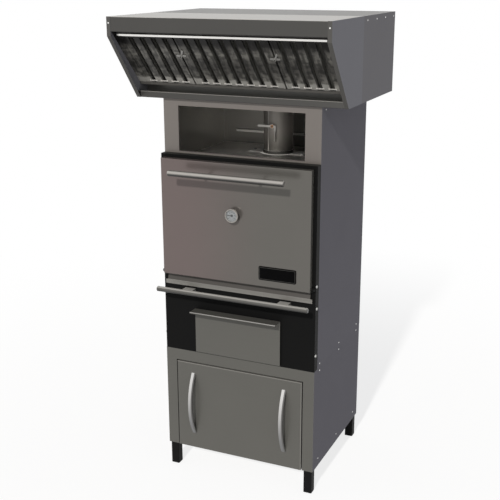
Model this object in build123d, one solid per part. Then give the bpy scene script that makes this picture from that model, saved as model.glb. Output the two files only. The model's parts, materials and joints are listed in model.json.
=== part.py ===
from build123d import *

import os
from math import cos, radians, sin

# A charcoal barbecue oven on a cabinet stand, with a warming niche and an extraction hood above it.
# Millimetres. X runs to the right, Y to the back and Z up. Y = 0 is the front face of the stand.

# Heights of the four stages, one on top of the other
leg_clear = 115.0
stand_height = 503.0
oven_height = 939.0
niche_height = 243.0
hood_height = 360.0

# Plan sizes
body_width = 750.0
body_depth = 660.0
hood_width = 995.0
hood_overhang = 208.0

# Sheet and plate
sheet = 1.5
bend = 3.0
inner_bend = 1.0
tight_bend = 0.3
flange = 20.0
frame_plate = 5.0
firebox_plate = 5.0
liner_plate = 3.0

# Clearances
running_fit = 0.05
sliding_gap = 0.6
panel_gap = 1.5
door_gap = 4.0

# Stand
leg_tube = 40.0
leg_wall = 2.0
leg_inset = 6.0
post_width = 52.5
stand_rail_height = 54.0

# Charcoal drawer behind the stand's front panel
coal_panel_proud = 3.0
coal_panel_gap = 5.0
coal_panel_top_gap = 6.0
coal_panel_depth = 20.0
coal_box_length = 540.0
coal_box_low = 30.0
coal_box_height = 255.0
coal_box_side_room = 40.0
guide_height = 14.0
guide_depth = 26.0
bow_span = 317.0
bow_rise = 76.0
bow_reach = 45.0
bow_width = 20.0
bow_thickness = 7.0
bow_foot = 14.0
bow_spacing = 464.0

# Oven front frame, set in front of the casing
frame_depth = 40.0
mouth_width = 600.0
mouth_low = 412.0
mouth_height = 425.0

# Ash drawer
ash_front_width = 425.0
ash_front_height = 217.0
ash_front_low = 6.0
ash_front_thickness = 8.0
ash_lip_reach = 55.0
ash_hem_radius = 4.5
ash_opening_side = 7.0
ash_opening_top = 12.0
ash_box_length = 465.0
ash_box_side = 16.0

# Firebox and what lies in it
rear_insulation = 50.5
firebox_low = 262.0
niche_floor_drop = 53.0
top_insulation = 40.0
grate_depth = 420.0
grate_thickness = 16.0
grate_slot = 12.0
grate_rib = 14.0
grate_seat = 8.5
hopper_neck = 40.0
hopper_plate = 2.0
hopper_side_room = 5.5
hopper_end_room = 10.0
rail_first = 30.0
rail_step = 88.0
rail_pairs = 3
angle_leg = 25.0
angle_thickness = 4.0
grid_rod = 8.0
grid_pitch = 30.0
grid_bar_height = 16.0
grid_bar_thickness = 6.0
grid_rod_drop = 1.0

# Sill and guard rail below the door
sill_low = 327.0
sill_lip = 21.0
sill_width = 725.0
sill_slope = 19.0
sill_slope_inset = 10.0
sill_reach = 8.0
rail_diameter = 24.0
rail_length = 740.0
rail_reach = 79.0
rail_height = 321.0
rail_bracket_width = 52.0
rail_bracket_spacing = 472.0
rail_bracket_plate = 5.0
bar_chamfer = 3.0

# Door
door_width = 719.0
door_height = 540.0
door_low = 384.0
door_thickness = 29.0
door_corner = 4.0
plug_clearance = 11.0
plug_depth = 16.0
seal_width = 12.0
seal_offset = 6.0
hinge_rise = 8.0
hinge_back = 7.0
hinge_pin_diameter = 8.0
hinge_ear_thickness = 6.0
hinge_ear_radius = 9.0
hinge_head_diameter = 13.0
hinge_head_thickness = 3.0
handle_diameter = 26.0
handle_length = 545.0
handle_reach = 91.0
handle_drop = 44.0
handle_post_diameter = 12.0
handle_post_spacing = 262.0
handle_post_drop = 25.0
handle_rose = 20.0
handle_rose_depth = 4.0

# Thermometer on the door
gauge_diameter = 62.0
gauge_reach = 28.0
gauge_case_depth = 11.0
gauge_rim = 4.5
gauge_edge = 1.5
gauge_rise = 315.0
gauge_stem = 8.0
gauge_probe = 60.0
gauge_nut = 20.0
gauge_glass_thickness = 2.0
gauge_glass_seat = 1.5
gauge_dial_thickness = 1.0
gauge_pin = 2.0
needle_gap = 0.8
needle_thickness = 1.0
needle_hub = 11.0
needle_width = 4.0
needle_tail = 7.0
needle_end_room = 4.0

# Niche
window_width = 604.0
window_height = 204.0
window_low = 8.0
window_return = 15.0
niche_bracket_width = 608.0
niche_bracket_rise = 55.0
niche_bracket_leg = 12.0

# Flue and damper
flue_diameter = 140.0
flue_from_front = 476.0
flue_into_hood = 30.0
collar_bolt_x = 130.0
collar_bolt_y = 24.0
collar_depth = 100.0
collar_thickness = 3.0
collar_sleeve = 18.0
damper_height = 137.0
damper_spindle = 8.0
damper_spindle_reach = 8.0
damper_vane_gap = 2.5
damper_vane_thickness = 2.5
damper_bush_diameter = 20.0
damper_bush_reach = 7.0
damper_bush_sink = 3.0
damper_lever_gap = 1.0
damper_lever_length = 68.0
damper_lever_width = 10.0
damper_lever_thickness = 4.0
damper_boss = 20.0
damper_grip_offset = 15.0
damper_grip_drop = 22.0
damper_grip_diameter = 9.0
damper_grip_length = 47.0

# Hood
canopy_front_height = 80.0
fascia_height = 61.0
hood_foot_back = 18.0
canopy_depth = 400.0
side_flange = 18.0
exhaust_diameter = 250.0
exhaust_collar = 60.0
exhaust_drop = 180.0

# Filters, their seat and the gutter below them
filter_lean = 43.5
filter_foot_back = 37.0
filter_foot_rise = 55.0
filter_length = 315.0
filter_depth = 36.0
filter_end_room = 38.0
middle_filter_width = 420.0
seam_gap = 8.0
slot_pitch = 54.0
slot_width = 23.0
slot_margin = 20.0
baffle_sheet = 1.0
baffle_bend = 2.0
baffle_overlap = 8.0
baffle_leg = 16.0
cassette_foot = 16.0
cassette_head = 14.0
cassette_side = 9.0
cassette_lip = 10.0
drip_ledge = 9.0
lift_room = 17.0
rail_lap = 4.0
rail_end_lap = 8.0
ledge_lip = 14.0
mullion_width = 30.0
gutter_gap = 2.0
gutter_lip = 26.0
gutter_lip_run = 8.0
gutter_lip_back = 8.0
gutter_depth = 95.0
gutter_back = 60.0
gutter_bend = 2.0
clip_length = 46.0
clip_width = 10.0
clip_corner = 4.9
clip_arm = 32.0
clip_arm_width = 8.0
clip_arm_turn = 62.0
clip_thickness = 2.5
clip_standoff = 0.8
clip_hub = 13.0
clip_hub_height = 8.0
clip_stud = 6.0
clip_stud_end = 3.0
clip_drop = 115.0

# Fasteners
rivet_head = 8.0
rivet_sides = 8
rivet_taper = 35.0
rivet_proud = 1.5
rivet_from_front = 72.0
rivet_from_back = 54.0
foot_rivet_from_back = 68.0
foot_rivet_rise = 38.0
seam_rivet_offset = 17.0
top_rivet_y = 87.0
plenum_rivets = 4
plenum_rivet_front = 49.0
plenum_rivet_back = 27.0
hood_rivet_drop = 19.0
fascia_rivet_drop = 26.0
frame_bolts = ((10.0, 77.0), (15.0, 299.0), (10.0, 403.0))
bolt_head = 12.0
bolt_proud = 4.0

# Levels and planes worked out from the sizes above
z_stand = leg_clear
z_oven = z_stand + stand_height
z_niche = z_oven + oven_height
z_hood = z_niche + niche_height
z_top = z_hood + hood_height
half_body = body_width / 2
half_hood = hood_width / 2
y_seam = canopy_depth - hood_overhang
z_niche_floor = z_niche - niche_floor_drop
z_firebox_top = z_niche_floor - sheet - top_insulation
z_firebox = z_oven + firebox_low
z_mouth = z_oven + mouth_low
z_mouth_top = z_mouth + mouth_height
half_mouth = mouth_width / 2
z_door = z_oven + door_low
z_door_top = z_door + door_height
half_door = door_width / 2
y_casing = frame_depth
y_firebox_back = body_depth - sheet - bend - rear_insulation
y_door_back = -door_gap
y_door_front = y_door_back - door_thickness
z_gauge = z_door + gauge_rise
z_ash_opening = z_oven + ash_front_low + ash_opening_side
z_ash_opening_top = z_oven + ash_front_low + ash_front_height - ash_opening_top
half_ash_opening = ash_front_width / 2 - ash_opening_side
half_grate = half_ash_opening - hopper_side_room
y_centre = (body_depth - hood_overhang - rivet_proud) / 2

# The filter plane leans forwards, and its foot stands behind the foot of the hood's slanted edges
lean = radians(filter_lean)
up_incline = Vector(0, -sin(lean), cos(lean))
out_incline = Vector(0, -cos(lean), -sin(lean))
filter_origin = Vector(0, hood_foot_back + filter_foot_back, z_hood + filter_foot_rise)
filter_plane = Plane(origin=filter_origin, x_dir=(1, 0, 0), z_dir=out_incline)
half_bank = half_hood - filter_end_room

parts = {}


def add(name, shape):
    """Keep a piece under its name, moved so that the origin is below the middle of the whole."""
    parts[name] = Pos(0, -y_centre, 0) * shape


def together(shapes):
    """Several shapes as one piece, or as one group of separate pieces."""
    return Part() + shapes


def block(x, y, z):
    """A block between a low and a high value on each axis."""
    size = [high - low for low, high in (x, y, z)]
    middle = [(high + low) / 2 for low, high in (x, y, z)]
    return Pos(*middle) * Box(*size)


def across(face, x_low, x_high):
    """A face drawn in Y and Z, made solid from x_low to x_high."""
    return extrude(Plane.YZ.offset(x_low) * face, amount=x_high - x_low)


def backwards(face, y_low, y_high):
    """A face drawn in X and Z, made solid from y_low to y_high."""
    return extrude(Plane.XZ.offset(-y_low) * face, amount=y_low - y_high)


def upwards(face, z_low, z_high):
    """A face drawn in X and Y, made solid from z_low to z_high."""
    return extrude(Plane.XY.offset(z_low) * face, amount=z_high - z_low)


def rod(start, end, diameter):
    """A round bar between two points."""
    path = Vector(*end) - Vector(*start)
    return extrude(Plane(origin=start, z_dir=path) * Circle(diameter / 2), amount=path.length)


def tube(start, end, diameter, wall):
    """A round tube between two points, open at both ends."""
    path = Vector(*end) - Vector(*start)
    ring = Circle(diameter / 2) - Circle(diameter / 2 - wall)
    return extrude(Plane(origin=start, z_dir=path) * ring, amount=path.length)


def folded(points, thickness=sheet, radius=bend):
    """The section of a folded sheet. The metal lies to the left of the line through the points."""
    line = FilletPolyline(*points, radius=radius)
    return make_face(offset(line, amount=thickness, side=Side.LEFT, closed=True))


def rectangle(low, high):
    """A rectangle between two corners, given as pairs."""
    width = high[0] - low[0]
    height = high[1] - low[1]
    return Pos((low[0] + high[0]) / 2, (low[1] + high[1]) / 2) * Rectangle(width, height)


def rounded(low, high, radius):
    """A rectangle between two corners, with round corners."""
    width = high[0] - low[0]
    height = high[1] - low[1]
    place = Pos((low[0] + high[0]) / 2, (low[1] + high[1]) / 2)
    return place * RectangleRounded(width, height, radius)


def corner_notches(half_x, y_low, y_high, z_low, z_high):
    """Four small blocks that relieve the corners of a tray between folded walls."""
    corners = []
    for x in (-half_x, half_x - bend):
        for y in (y_low, y_high - bend):
            corners.append(block((x, x + bend), (y, y + bend), (z_low, z_high)))
    return together(corners)


def both_sides(shape):
    """A piece and its mirror image on the other side of the oven."""
    return shape + mirror(shape, about=Plane.YZ)


def chamfered_bar(half_length, y, z, diameter):
    """A round bar across the front, with its two ends chamfered."""
    bar = rod((-half_length, y, z), (half_length, y, z), diameter)
    return chamfer(bar.edges().filter_by(GeomType.CIRCLE), bar_chamfer)


def hex_head(centre, direction, across_flats, height):
    """A hexagon head that stands on a face, pointing along direction."""
    place = Plane(origin=centre, z_dir=direction)
    return extrude(place * RegularPolygon(across_flats / 2, 6, major_radius=False), amount=height)


def rivet(centre, direction):
    """A low rivet head that stands on a face, with its rim sloping inwards."""
    place = Plane(origin=centre, z_dir=direction)
    face = place * RegularPolygon(rivet_head / 2, rivet_sides)
    return extrude(face, amount=rivet_proud, taper=rivet_taper)


def stand():
    """Legs, cladding and decks of the cabinet stand."""
    middle_x = half_body - leg_inset - leg_tube / 2
    deck_low = z_oven - sheet
    leg_places = []
    for side_x in (-middle_x, middle_x):
        for y in (leg_inset + leg_tube / 2, body_depth - leg_inset - leg_tube / 2):
            leg_places.append((side_x, y))
    inner = leg_tube - 2 * leg_wall
    leg = upwards(RectangleRounded(leg_tube, leg_tube, bend), 0, deck_low)
    leg -= upwards(Rectangle(inner, inner), leg_wall, deck_low)
    add("stand_legs", together([Pos(x, y, 0) * leg for x, y in leg_places]))

    opening_x = half_body - post_width
    opening_top = z_oven - stand_rail_height
    face = rectangle((-half_body, z_stand), (half_body, z_oven))
    face -= rectangle((-opening_x, z_stand), (opening_x, opening_top))
    returns = rectangle((-opening_x - sheet, z_stand), (opening_x + sheet, opening_top + sheet))
    returns -= rectangle((-opening_x, z_stand), (opening_x, opening_top))
    add("stand_front_frame", backwards(face, 0, sheet) + backwards(returns, 0, flange))

    inside = half_body - flange
    path = [
        (inside, sheet),
        (half_body, sheet),
        (half_body, body_depth),
        (-half_body, body_depth),
        (-half_body, sheet),
        (-inside, sheet),
    ]
    add("stand_cladding", upwards(folded(path), z_stand, z_oven))

    deck_x = half_body - sheet
    deck_front = 2 * sheet
    deck_back = body_depth - 2 * sheet
    deck = block((-deck_x, deck_x), (deck_front, deck_back), (deck_low - flange, z_oven))
    deck -= block(
        (-deck_x + sheet, deck_x - sheet),
        (deck_front + sheet, deck_back - sheet),
        (deck_low - flange, deck_low),
    )
    deck -= corner_notches(deck_x, deck_front, deck_back, deck_low - flange, z_oven)
    add("stand_top_deck", deck)

    shelf_front = coal_panel_depth + flange / 2
    shelf = block((-deck_x, deck_x), (shelf_front, deck_back), (z_stand, z_stand + flange))
    shelf -= block(
        (-deck_x + sheet, deck_x - sheet),
        (shelf_front + sheet, deck_back - sheet),
        (z_stand + sheet, z_stand + flange),
    )
    notch = leg_tube / 2 + panel_gap
    for x, y in leg_places:
        shelf -= block((x - notch, x + notch), (y - notch, y + notch), (z_stand, z_stand + flange))
    add("stand_shelf", shelf)


def coal_drawer():
    """The pull-out charcoal drawer, its two bow handles and the channels it runs in."""
    leg_face = half_body - leg_inset - leg_tube
    half_panel = half_body - post_width - coal_panel_gap
    panel_top = z_oven - stand_rail_height - coal_panel_top_gap
    panel_front = -coal_panel_proud
    panel_back = panel_front + coal_panel_depth
    panel = block((-half_panel, half_panel), (panel_front, panel_back), (z_stand, panel_top))
    upright = panel.edges().filter_by(Axis.Z).group_by(Axis.Y)[0]
    level = panel.edges().filter_by(Axis.X).group_by(Axis.Y)[0]
    panel = fillet(upright + level, sheet)
    panel -= block(
        (-half_panel + sheet, half_panel - sheet),
        (panel_front + sheet, panel_back),
        (z_stand + sheet, panel_top - sheet),
    )
    add("coal_drawer_front", panel)

    half_box = leg_face - coal_box_side_room
    box_low = z_stand + coal_box_low
    box_top = box_low + coal_box_height
    box_back = panel_back + coal_box_length
    box = block((-half_box, half_box), (panel_back, box_back), (box_low, box_top))
    box = fillet(box.edges().filter_by(Axis.Z), 2 * bend)
    hollow = block(
        (-half_box + sheet, half_box - sheet),
        (panel_back + sheet, box_back - sheet),
        (box_low + sheet, box_top),
    )
    box -= fillet(hollow.edges().filter_by(Axis.Z), 2 * bend - sheet)
    wing_out = half_panel - coal_panel_gap
    wing = block((half_box - sheet, wing_out), (panel_back, box_back - 2 * bend), (box_top - sheet, box_top))
    add("coal_drawer_box", box + both_sides(wing))

    guide_top = box_top + sliding_gap + sheet
    guide_foot = box_top - sheet - sliding_gap - sheet
    guide_in = leg_face - guide_depth
    path = [(guide_in, guide_foot), (leg_face, guide_foot), (leg_face, guide_top), (guide_in, guide_top)]
    section = folded(path, radius=sheet + tight_bend)
    guide_front = panel_back + 2 * panel_gap
    guide_rear = body_depth - leg_inset
    guide = backwards(section, guide_front, guide_rear)
    web_foot = guide_foot - guide_height
    guide += block((leg_face - sheet, leg_face), (guide_front, guide_rear), (web_foot, guide_foot))
    add("coal_drawer_runners", both_sides(guide))

    bottom = z_stand + bow_rise
    top = bottom + bow_span
    middle = (bottom + top) / 2
    outer = ThreePointArc((panel_front, bottom), (panel_front - bow_reach, middle), (panel_front, top))
    inner = ThreePointArc(
        (panel_front, bottom + bow_foot),
        (panel_front - bow_reach + bow_thickness, middle),
        (panel_front, top - bow_foot),
    )
    feet = [
        Line((panel_front, bottom), (panel_front, bottom + bow_foot)),
        Line((panel_front, top - bow_foot), (panel_front, top)),
    ]
    section = make_face(Curve() + [outer, inner] + feet)
    bow = across(section, (bow_spacing - bow_width) / 2, (bow_spacing + bow_width) / 2)
    add("coal_drawer_handles", both_sides(bow))


def oven_front():
    """The black front frame, the sill under the door and the guard rail."""
    frame = block((-half_body, half_body), (0, frame_depth), (z_oven, z_niche))
    frame = fillet(frame.edges().filter_by(Axis.Z).group_by(Axis.Y)[0], bend)
    wall = frame_plate
    inside = half_body - wall
    frame -= block((-inside, inside), (wall, frame_depth), (z_oven + wall, z_niche - wall))
    mouth = rounded((-half_mouth, z_mouth), (half_mouth, z_mouth_top), 2 * bend)
    frame -= backwards(mouth, 0, wall)
    ash = rectangle((-half_ash_opening, z_ash_opening), (half_ash_opening, z_ash_opening_top))
    frame -= backwards(ash, 0, wall)
    add("oven_front_frame", frame)

    low = z_oven + sill_low
    lip_top = low + sill_lip
    slope_top = lip_top + sill_slope
    path = [
        (-sheet, slope_top + 2 * bend),
        (-sheet, slope_top),
        (-sill_reach, lip_top),
        (-sill_reach, low),
        (0, low),
    ]
    half_sill = sill_width / 2
    sill = across(folded(path), -half_sill, half_sill)
    slope_end = half_sill - sill_slope_inset
    sill -= both_sides(block((slope_end, half_sill), (-sill_reach, 0), (lip_top, slope_top + 2 * bend)))
    add("sill_ledge", sill)

    height = z_oven + rail_height
    bar = chamfered_bar(rail_length / 2, -rail_reach, height, rail_diameter)
    plate = rail_bracket_plate
    plate_top = height - plate / 2
    path = [(0, plate_top - angle_leg), (0, plate_top), (-rail_reach, plate_top)]
    section = folded(path, thickness=plate, radius=plate + inner_bend)
    left = (rail_bracket_spacing - rail_bracket_width) / 2
    bracket = across(section, left, left + rail_bracket_width)
    add("front_rail", bar + both_sides(bracket))


def firebox():
    """The steel firebox, its grate, its cooking grid and the funnel to the ash drawer."""
    front = frame_plate
    back = y_firebox_back
    half = half_mouth + firebox_plate
    wall = firebox_plate
    middle_y = (front + back) / 2
    half_depth = grate_depth / 2
    box = block((-half, half), (front, back), (z_firebox, z_firebox_top))
    box -= block((-half + wall, half - wall), (front, back - wall), (z_firebox + wall, z_firebox_top - wall))
    box -= block(
        (-half_grate, half_grate),
        (middle_y - half_depth, middle_y + half_depth),
        (z_firebox, z_firebox + wall),
    )
    flue_in = flue_diameter / 2 - sheet
    box -= Pos(0, flue_from_front, z_firebox_top - wall / 2) * Cylinder(flue_in, wall)
    add("firebox", box)

    low = (-half_grate - grate_seat, middle_y - half_depth - grate_seat)
    high = (half_grate + grate_seat, middle_y + half_depth + grate_seat)
    z_seat = z_firebox + wall
    grate = upwards(rounded(low, high, bend), z_seat, z_seat + grate_thickness)
    pitch = grate_slot + grate_rib
    count = int((2 * half_grate - grate_rib) // pitch)
    slot_length = half_depth - 2 * grate_rib
    places = GridLocations(pitch, half_depth, count, 2)
    slots = Pos(0, middle_y) * (Sketch() + [place * Rectangle(grate_slot, slot_length) for place in places])
    add("charcoal_grate", grate - upwards(slots, z_seat, z_seat + grate_thickness))

    def funnel(half_top, half_top_depth, half_foot, half_foot_depth):
        """A tapered block from the firebox floor down to the neck."""
        top_place = Plane((0, middle_y, z_firebox))
        foot_place = Plane((0, middle_y, z_firebox - hopper_neck))
        top = top_place * Rectangle(2 * half_top, 2 * half_top_depth)
        foot = foot_place * Rectangle(2 * half_foot, 2 * half_foot_depth)
        return loft([foot, top])

    neck = half_ash_opening - 2 * ash_box_side
    neck_depth = half_depth - hopper_end_room
    wall = hopper_plate
    hopper = funnel(half_grate + wall, half_depth + wall, neck, neck_depth)
    hopper -= funnel(half_grate, half_depth, neck - wall, neck_depth - wall)
    add("ash_hopper", hopper)

    rail_front = front + angle_leg
    rail_back = back - firebox_plate - angle_leg
    rails = []
    for index in range(rail_pairs):
        level = z_mouth + rail_first + index * rail_step
        path = [(half_mouth, level - angle_leg), (half_mouth, level), (half_mouth - angle_leg, level)]
        section = folded(path, thickness=angle_thickness, radius=angle_thickness + inner_bend)
        rails.append(both_sides(backwards(section, rail_front, rail_back)))
    add("grid_rails", together(rails))

    level = z_mouth + rail_first
    top = level + grid_bar_height
    half_grid = half_mouth - 2 * panel_gap
    bar = grid_bar_thickness
    grid = upwards(rectangle((-half_grid, rail_front), (half_grid, rail_back)), level, top)
    rods_front = rail_front + bar
    rods_back = rail_back - bar
    grid -= upwards(rectangle((-half_grid + bar, rods_front), (half_grid - bar, rods_back)), level, top)
    height = top - grid_rod_drop - grid_rod / 2
    count = int(2 * half_grid // grid_pitch)
    rods = []
    for index in range(count):
        x = (index - (count - 1) / 2) * grid_pitch
        rods.append(rod((x, rods_front, height), (x, rods_back, height), grid_rod))
    add("cooking_grid", grid + rods)

    slab_front = y_casing + bend
    slab_back = body_depth - sheet - bend
    slab_x = half_body - bend
    slab_top = z_niche_floor - sheet
    top = block((-slab_x, slab_x), (slab_front, slab_back), (z_firebox_top, slab_top))
    pipe_hole = Cylinder(flue_diameter / 2 + panel_gap, top_insulation)
    top -= Pos(0, flue_from_front, slab_top - top_insulation / 2) * pipe_hole
    side = block((half, slab_x), (slab_front, back), (z_firebox, z_firebox_top))
    rear = block((-slab_x, slab_x), (back, slab_back), (z_firebox, z_firebox_top))
    add("insulation", top + rear + both_sides(side))


def ash_drawer():
    """The ash drawer with its folded grip lip, and the walls that guide it and carry the firebox."""
    low = z_oven + ash_front_low
    top = low + ash_front_height
    half = ash_front_width / 2
    front = -ash_front_thickness
    lip_end = front - ash_lip_reach
    face = across(folded([(-sliding_gap, low), (front, low), (front, top), (lip_end, top)]), -half, half)
    curl = Circle(ash_hem_radius) - Circle(ash_hem_radius - sheet)
    hem = across(Pos(lip_end, top - ash_hem_radius + sheet / 2) * curl, -half, half)
    add("ash_drawer_front", face + hem)

    half_box = half_ash_opening - ash_box_side
    box_front = frame_plate + sliding_gap
    box_low = z_ash_opening + 2 * sheet
    box_top = z_ash_opening_top - 3 * sheet
    box_back = box_front + ash_box_length
    skin_back = front + sheet
    box = block((-half_box, half_box), (skin_back, box_back), (box_low, box_top))
    box = fillet(box.edges().filter_by(Axis.Z).group_by(Axis.Y)[-1], 2 * bend)
    hollow = block(
        (-half_box + sheet, half_box - sheet),
        (skin_back + sheet, box_back - sheet),
        (box_low + sheet, box_top),
    )
    box -= fillet(hollow.edges().filter_by(Axis.Z), 2 * bend - sheet)
    wing_out = half_ash_opening - 2 * sheet
    wing = block((half_box - sheet, wing_out), (box_front, box_back - 2 * bend), (box_top - sheet, box_top))
    add("ash_drawer_box", box + both_sides(wing))

    wall_out = half_ash_opening + sheet
    wall_front = frame_depth
    wall_back = y_firebox_back
    path = [
        (wall_out + flange, z_firebox),
        (wall_out, z_firebox),
        (wall_out, z_oven),
        (wall_out + flange, z_oven),
    ]
    wall = backwards(folded(path), wall_front, wall_back)
    guide_in = half_box + sliding_gap + 2 * sheet
    for level in (box_top + sliding_gap, box_top - sheet - sliding_gap - sheet):
        wall += block((guide_in, wall_out), (wall_front, wall_back), (level, level + sheet))
    add("ash_bay_walls", both_sides(wall))


def casing():
    """The stainless casing of oven and niche: sides, back, niche front, niche floor and bracket."""
    inside = half_body - flange
    back = body_depth - sheet
    path = [(inside, y_casing), (half_body, y_casing), (half_body, back), (inside, back)]
    side = upwards(folded(path), z_oven, z_hood)
    add("casing_right", side)
    add("casing_left", mirror(side, about=Plane.YZ))
    add("casing_back", block((-half_body, half_body), (back, body_depth), (z_oven, z_hood)))

    front = y_casing - sheet
    low = z_niche + window_low
    top = low + window_height
    half = window_width / 2
    face = rectangle((-half_body, z_niche), (half_body, z_hood))
    face -= rounded((-half, low), (half, top), bend)
    ring = rounded((-half - sheet, low - sheet), (half + sheet, top + sheet), bend + sheet)
    ring -= rounded((-half, low), (half, top), bend)
    add("niche_front_frame", backwards(face, front, y_casing) + backwards(ring, front, front + window_return))

    floor_front = y_casing + sheet
    floor_back = back - sheet
    floor_low = z_niche_floor - sheet
    section = folded([(floor_front, z_niche), (floor_front, floor_low), (floor_back, floor_low)])
    floor = across(section, -half_body + sheet, half_body - sheet)
    hole = flue_diameter / 2 + panel_gap
    floor -= Pos(0, flue_from_front, z_niche_floor) * Cylinder(hole, 4 * sheet)
    floor -= corner_notches(half_body - sheet, floor_front, floor_back, z_niche_floor - bend, z_niche)
    add("niche_floor", floor)

    level = z_niche_floor + niche_bracket_rise
    leg = niche_bracket_leg
    section = folded([(back, level), (back, level + leg), (back - leg, level + leg)])
    add("niche_back_bracket", across(section, -niche_bracket_width / 2, niche_bracket_width / 2))


def door():
    """The bottom-hinged door: skin, liner with its plug, insulation, seal, handle and hinges."""
    skin = block((-half_door, half_door), (y_door_front, y_door_back), (z_door, z_door_top))
    skin = fillet(skin.edges().group_by(Axis.Y)[0], door_corner)
    inside = half_door - sheet
    inside_z = (z_door + sheet, z_door_top - sheet)
    skin -= block((-inside, inside), (y_door_front + sheet, y_door_back), inside_z)
    plug_back = y_door_back + plug_depth
    stem_hole = rod((0, y_door_front, z_gauge), (0, plug_back, z_gauge), gauge_stem)
    add("door_skin", skin - stem_hole)

    plug_x = half_mouth - plug_clearance
    plug_low = z_mouth + plug_clearance
    plug_top = z_mouth_top - plug_clearance
    wall = liner_plate
    plate_front = y_door_back - wall
    plate = block((-inside, inside), (plate_front, y_door_back), inside_z)
    plug = block((-plug_x, plug_x), (plate_front, plug_back), (plug_low, plug_top))
    plug = fillet(plug.edges().group_by(Axis.Y)[-1], bend + wall)
    hollow = block(
        (-plug_x + wall, plug_x - wall),
        (plate_front, plug_back - wall),
        (plug_low + wall, plug_top - wall),
    )
    add("door_liner", plate + plug - hollow - stem_hole)
    filling = block((-inside, inside), (y_door_front + sheet, plate_front), inside_z)
    add("door_insulation", filling + hollow - stem_hole)

    def seal_outline(distance, radius):
        """A rounded outline round the oven's mouth, at a distance from its edge."""
        low = (-half_mouth - distance, z_mouth - distance)
        high = (half_mouth + distance, z_mouth_top + distance)
        return rounded(low, high, radius)

    ring = seal_outline(seal_offset + seal_width, seal_width + 2 * bend)
    ring -= seal_outline(seal_offset, 2 * bend)
    add("door_seal", backwards(ring, y_door_back, -2 * sliding_gap))

    bar_y = y_door_front - handle_reach
    bar_z = z_door_top - handle_drop
    bar = chamfered_bar(handle_length / 2, bar_y, bar_z, handle_diameter)
    post_x = handle_post_spacing / 2
    foot_z = bar_z - handle_post_drop
    rose_y = y_door_front - handle_rose_depth
    post_end = (post_x, rose_y + handle_rose_depth / 2, foot_z)
    post = rod((post_x, bar_y, bar_z), post_end, handle_post_diameter)
    post += rod((post_x, rose_y, foot_z), (post_x, y_door_front, foot_z), handle_rose)
    add("door_handle", bar + both_sides(post))

    pivot_y = y_door_back - hinge_back
    pivot_z = z_door + hinge_rise
    ear_low = half_door + 2 * panel_gap
    ear_high = ear_low + hinge_ear_thickness
    nose = Pos(pivot_y, pivot_z) * Circle(hinge_ear_radius)
    nose += rectangle((pivot_y, pivot_z - hinge_ear_radius), (0, pivot_z + hinge_ear_radius))
    nose -= Pos(pivot_y, pivot_z) * Circle(hinge_pin_diameter / 2 + running_fit)
    add("hinge_ears", both_sides(across(nose, ear_low, ear_high)))
    head_x = ear_high + sliding_gap
    head_end = head_x + hinge_head_thickness
    pin = rod((half_door, pivot_y, pivot_z), (head_x, pivot_y, pivot_z), hinge_pin_diameter)
    pin += rod((head_x, pivot_y, pivot_z), (head_end, pivot_y, pivot_z), hinge_head_diameter)
    add("hinge_pins", both_sides(pin))


def thermometer():
    """The dial thermometer in the door: case with stem, dial, needle and glass."""
    def disc(y_low, y_high, diameter):
        """A disc on the thermometer's axis."""
        return rod((0, y_low, z_gauge), (0, y_high, z_gauge), diameter)

    face = y_door_front - gauge_reach
    back = face + gauge_case_depth
    well = gauge_diameter - 2 * gauge_rim
    glass_front = face + gauge_glass_seat
    glass_back = glass_front + gauge_glass_thickness
    glass_diameter = well + 2 * gauge_glass_seat
    dial_back = back - sheet
    dial_front = dial_back - gauge_dial_thickness
    case = disc(face, back, gauge_diameter)
    case = chamfer(case.edges().filter_by(GeomType.CIRCLE), gauge_edge)
    case -= disc(face, dial_back, well)
    case -= disc(glass_front, glass_back, glass_diameter)
    case += disc(back, y_door_back + plug_depth + gauge_probe, gauge_stem)
    case += hex_head((0, back, z_gauge), (0, 1, 0), gauge_nut, y_door_front - back)
    add("thermometer_case", case)
    add("thermometer_glass", disc(glass_front, glass_back, glass_diameter))

    needle_back = dial_front - needle_gap
    needle_front = needle_back - needle_thickness
    pin_front = (glass_back + needle_front) / 2
    add("thermometer_dial", disc(dial_front, dial_back, well) + disc(pin_front, dial_front, gauge_pin))

    tip = well / 2 - needle_end_room
    half = needle_width / 2
    outline = [(-tip, 0), (0, -half), (needle_tail, -half), (needle_tail, half), (0, half)]
    blade = Pos(0, z_gauge) * make_face(Polyline(*outline, close=True))
    needle = backwards(blade, needle_front, needle_back) + disc(needle_front, needle_back, needle_hub)
    needle -= disc(needle_front, needle_back, gauge_pin + 2 * running_fit)
    add("thermometer_needle", needle)


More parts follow.
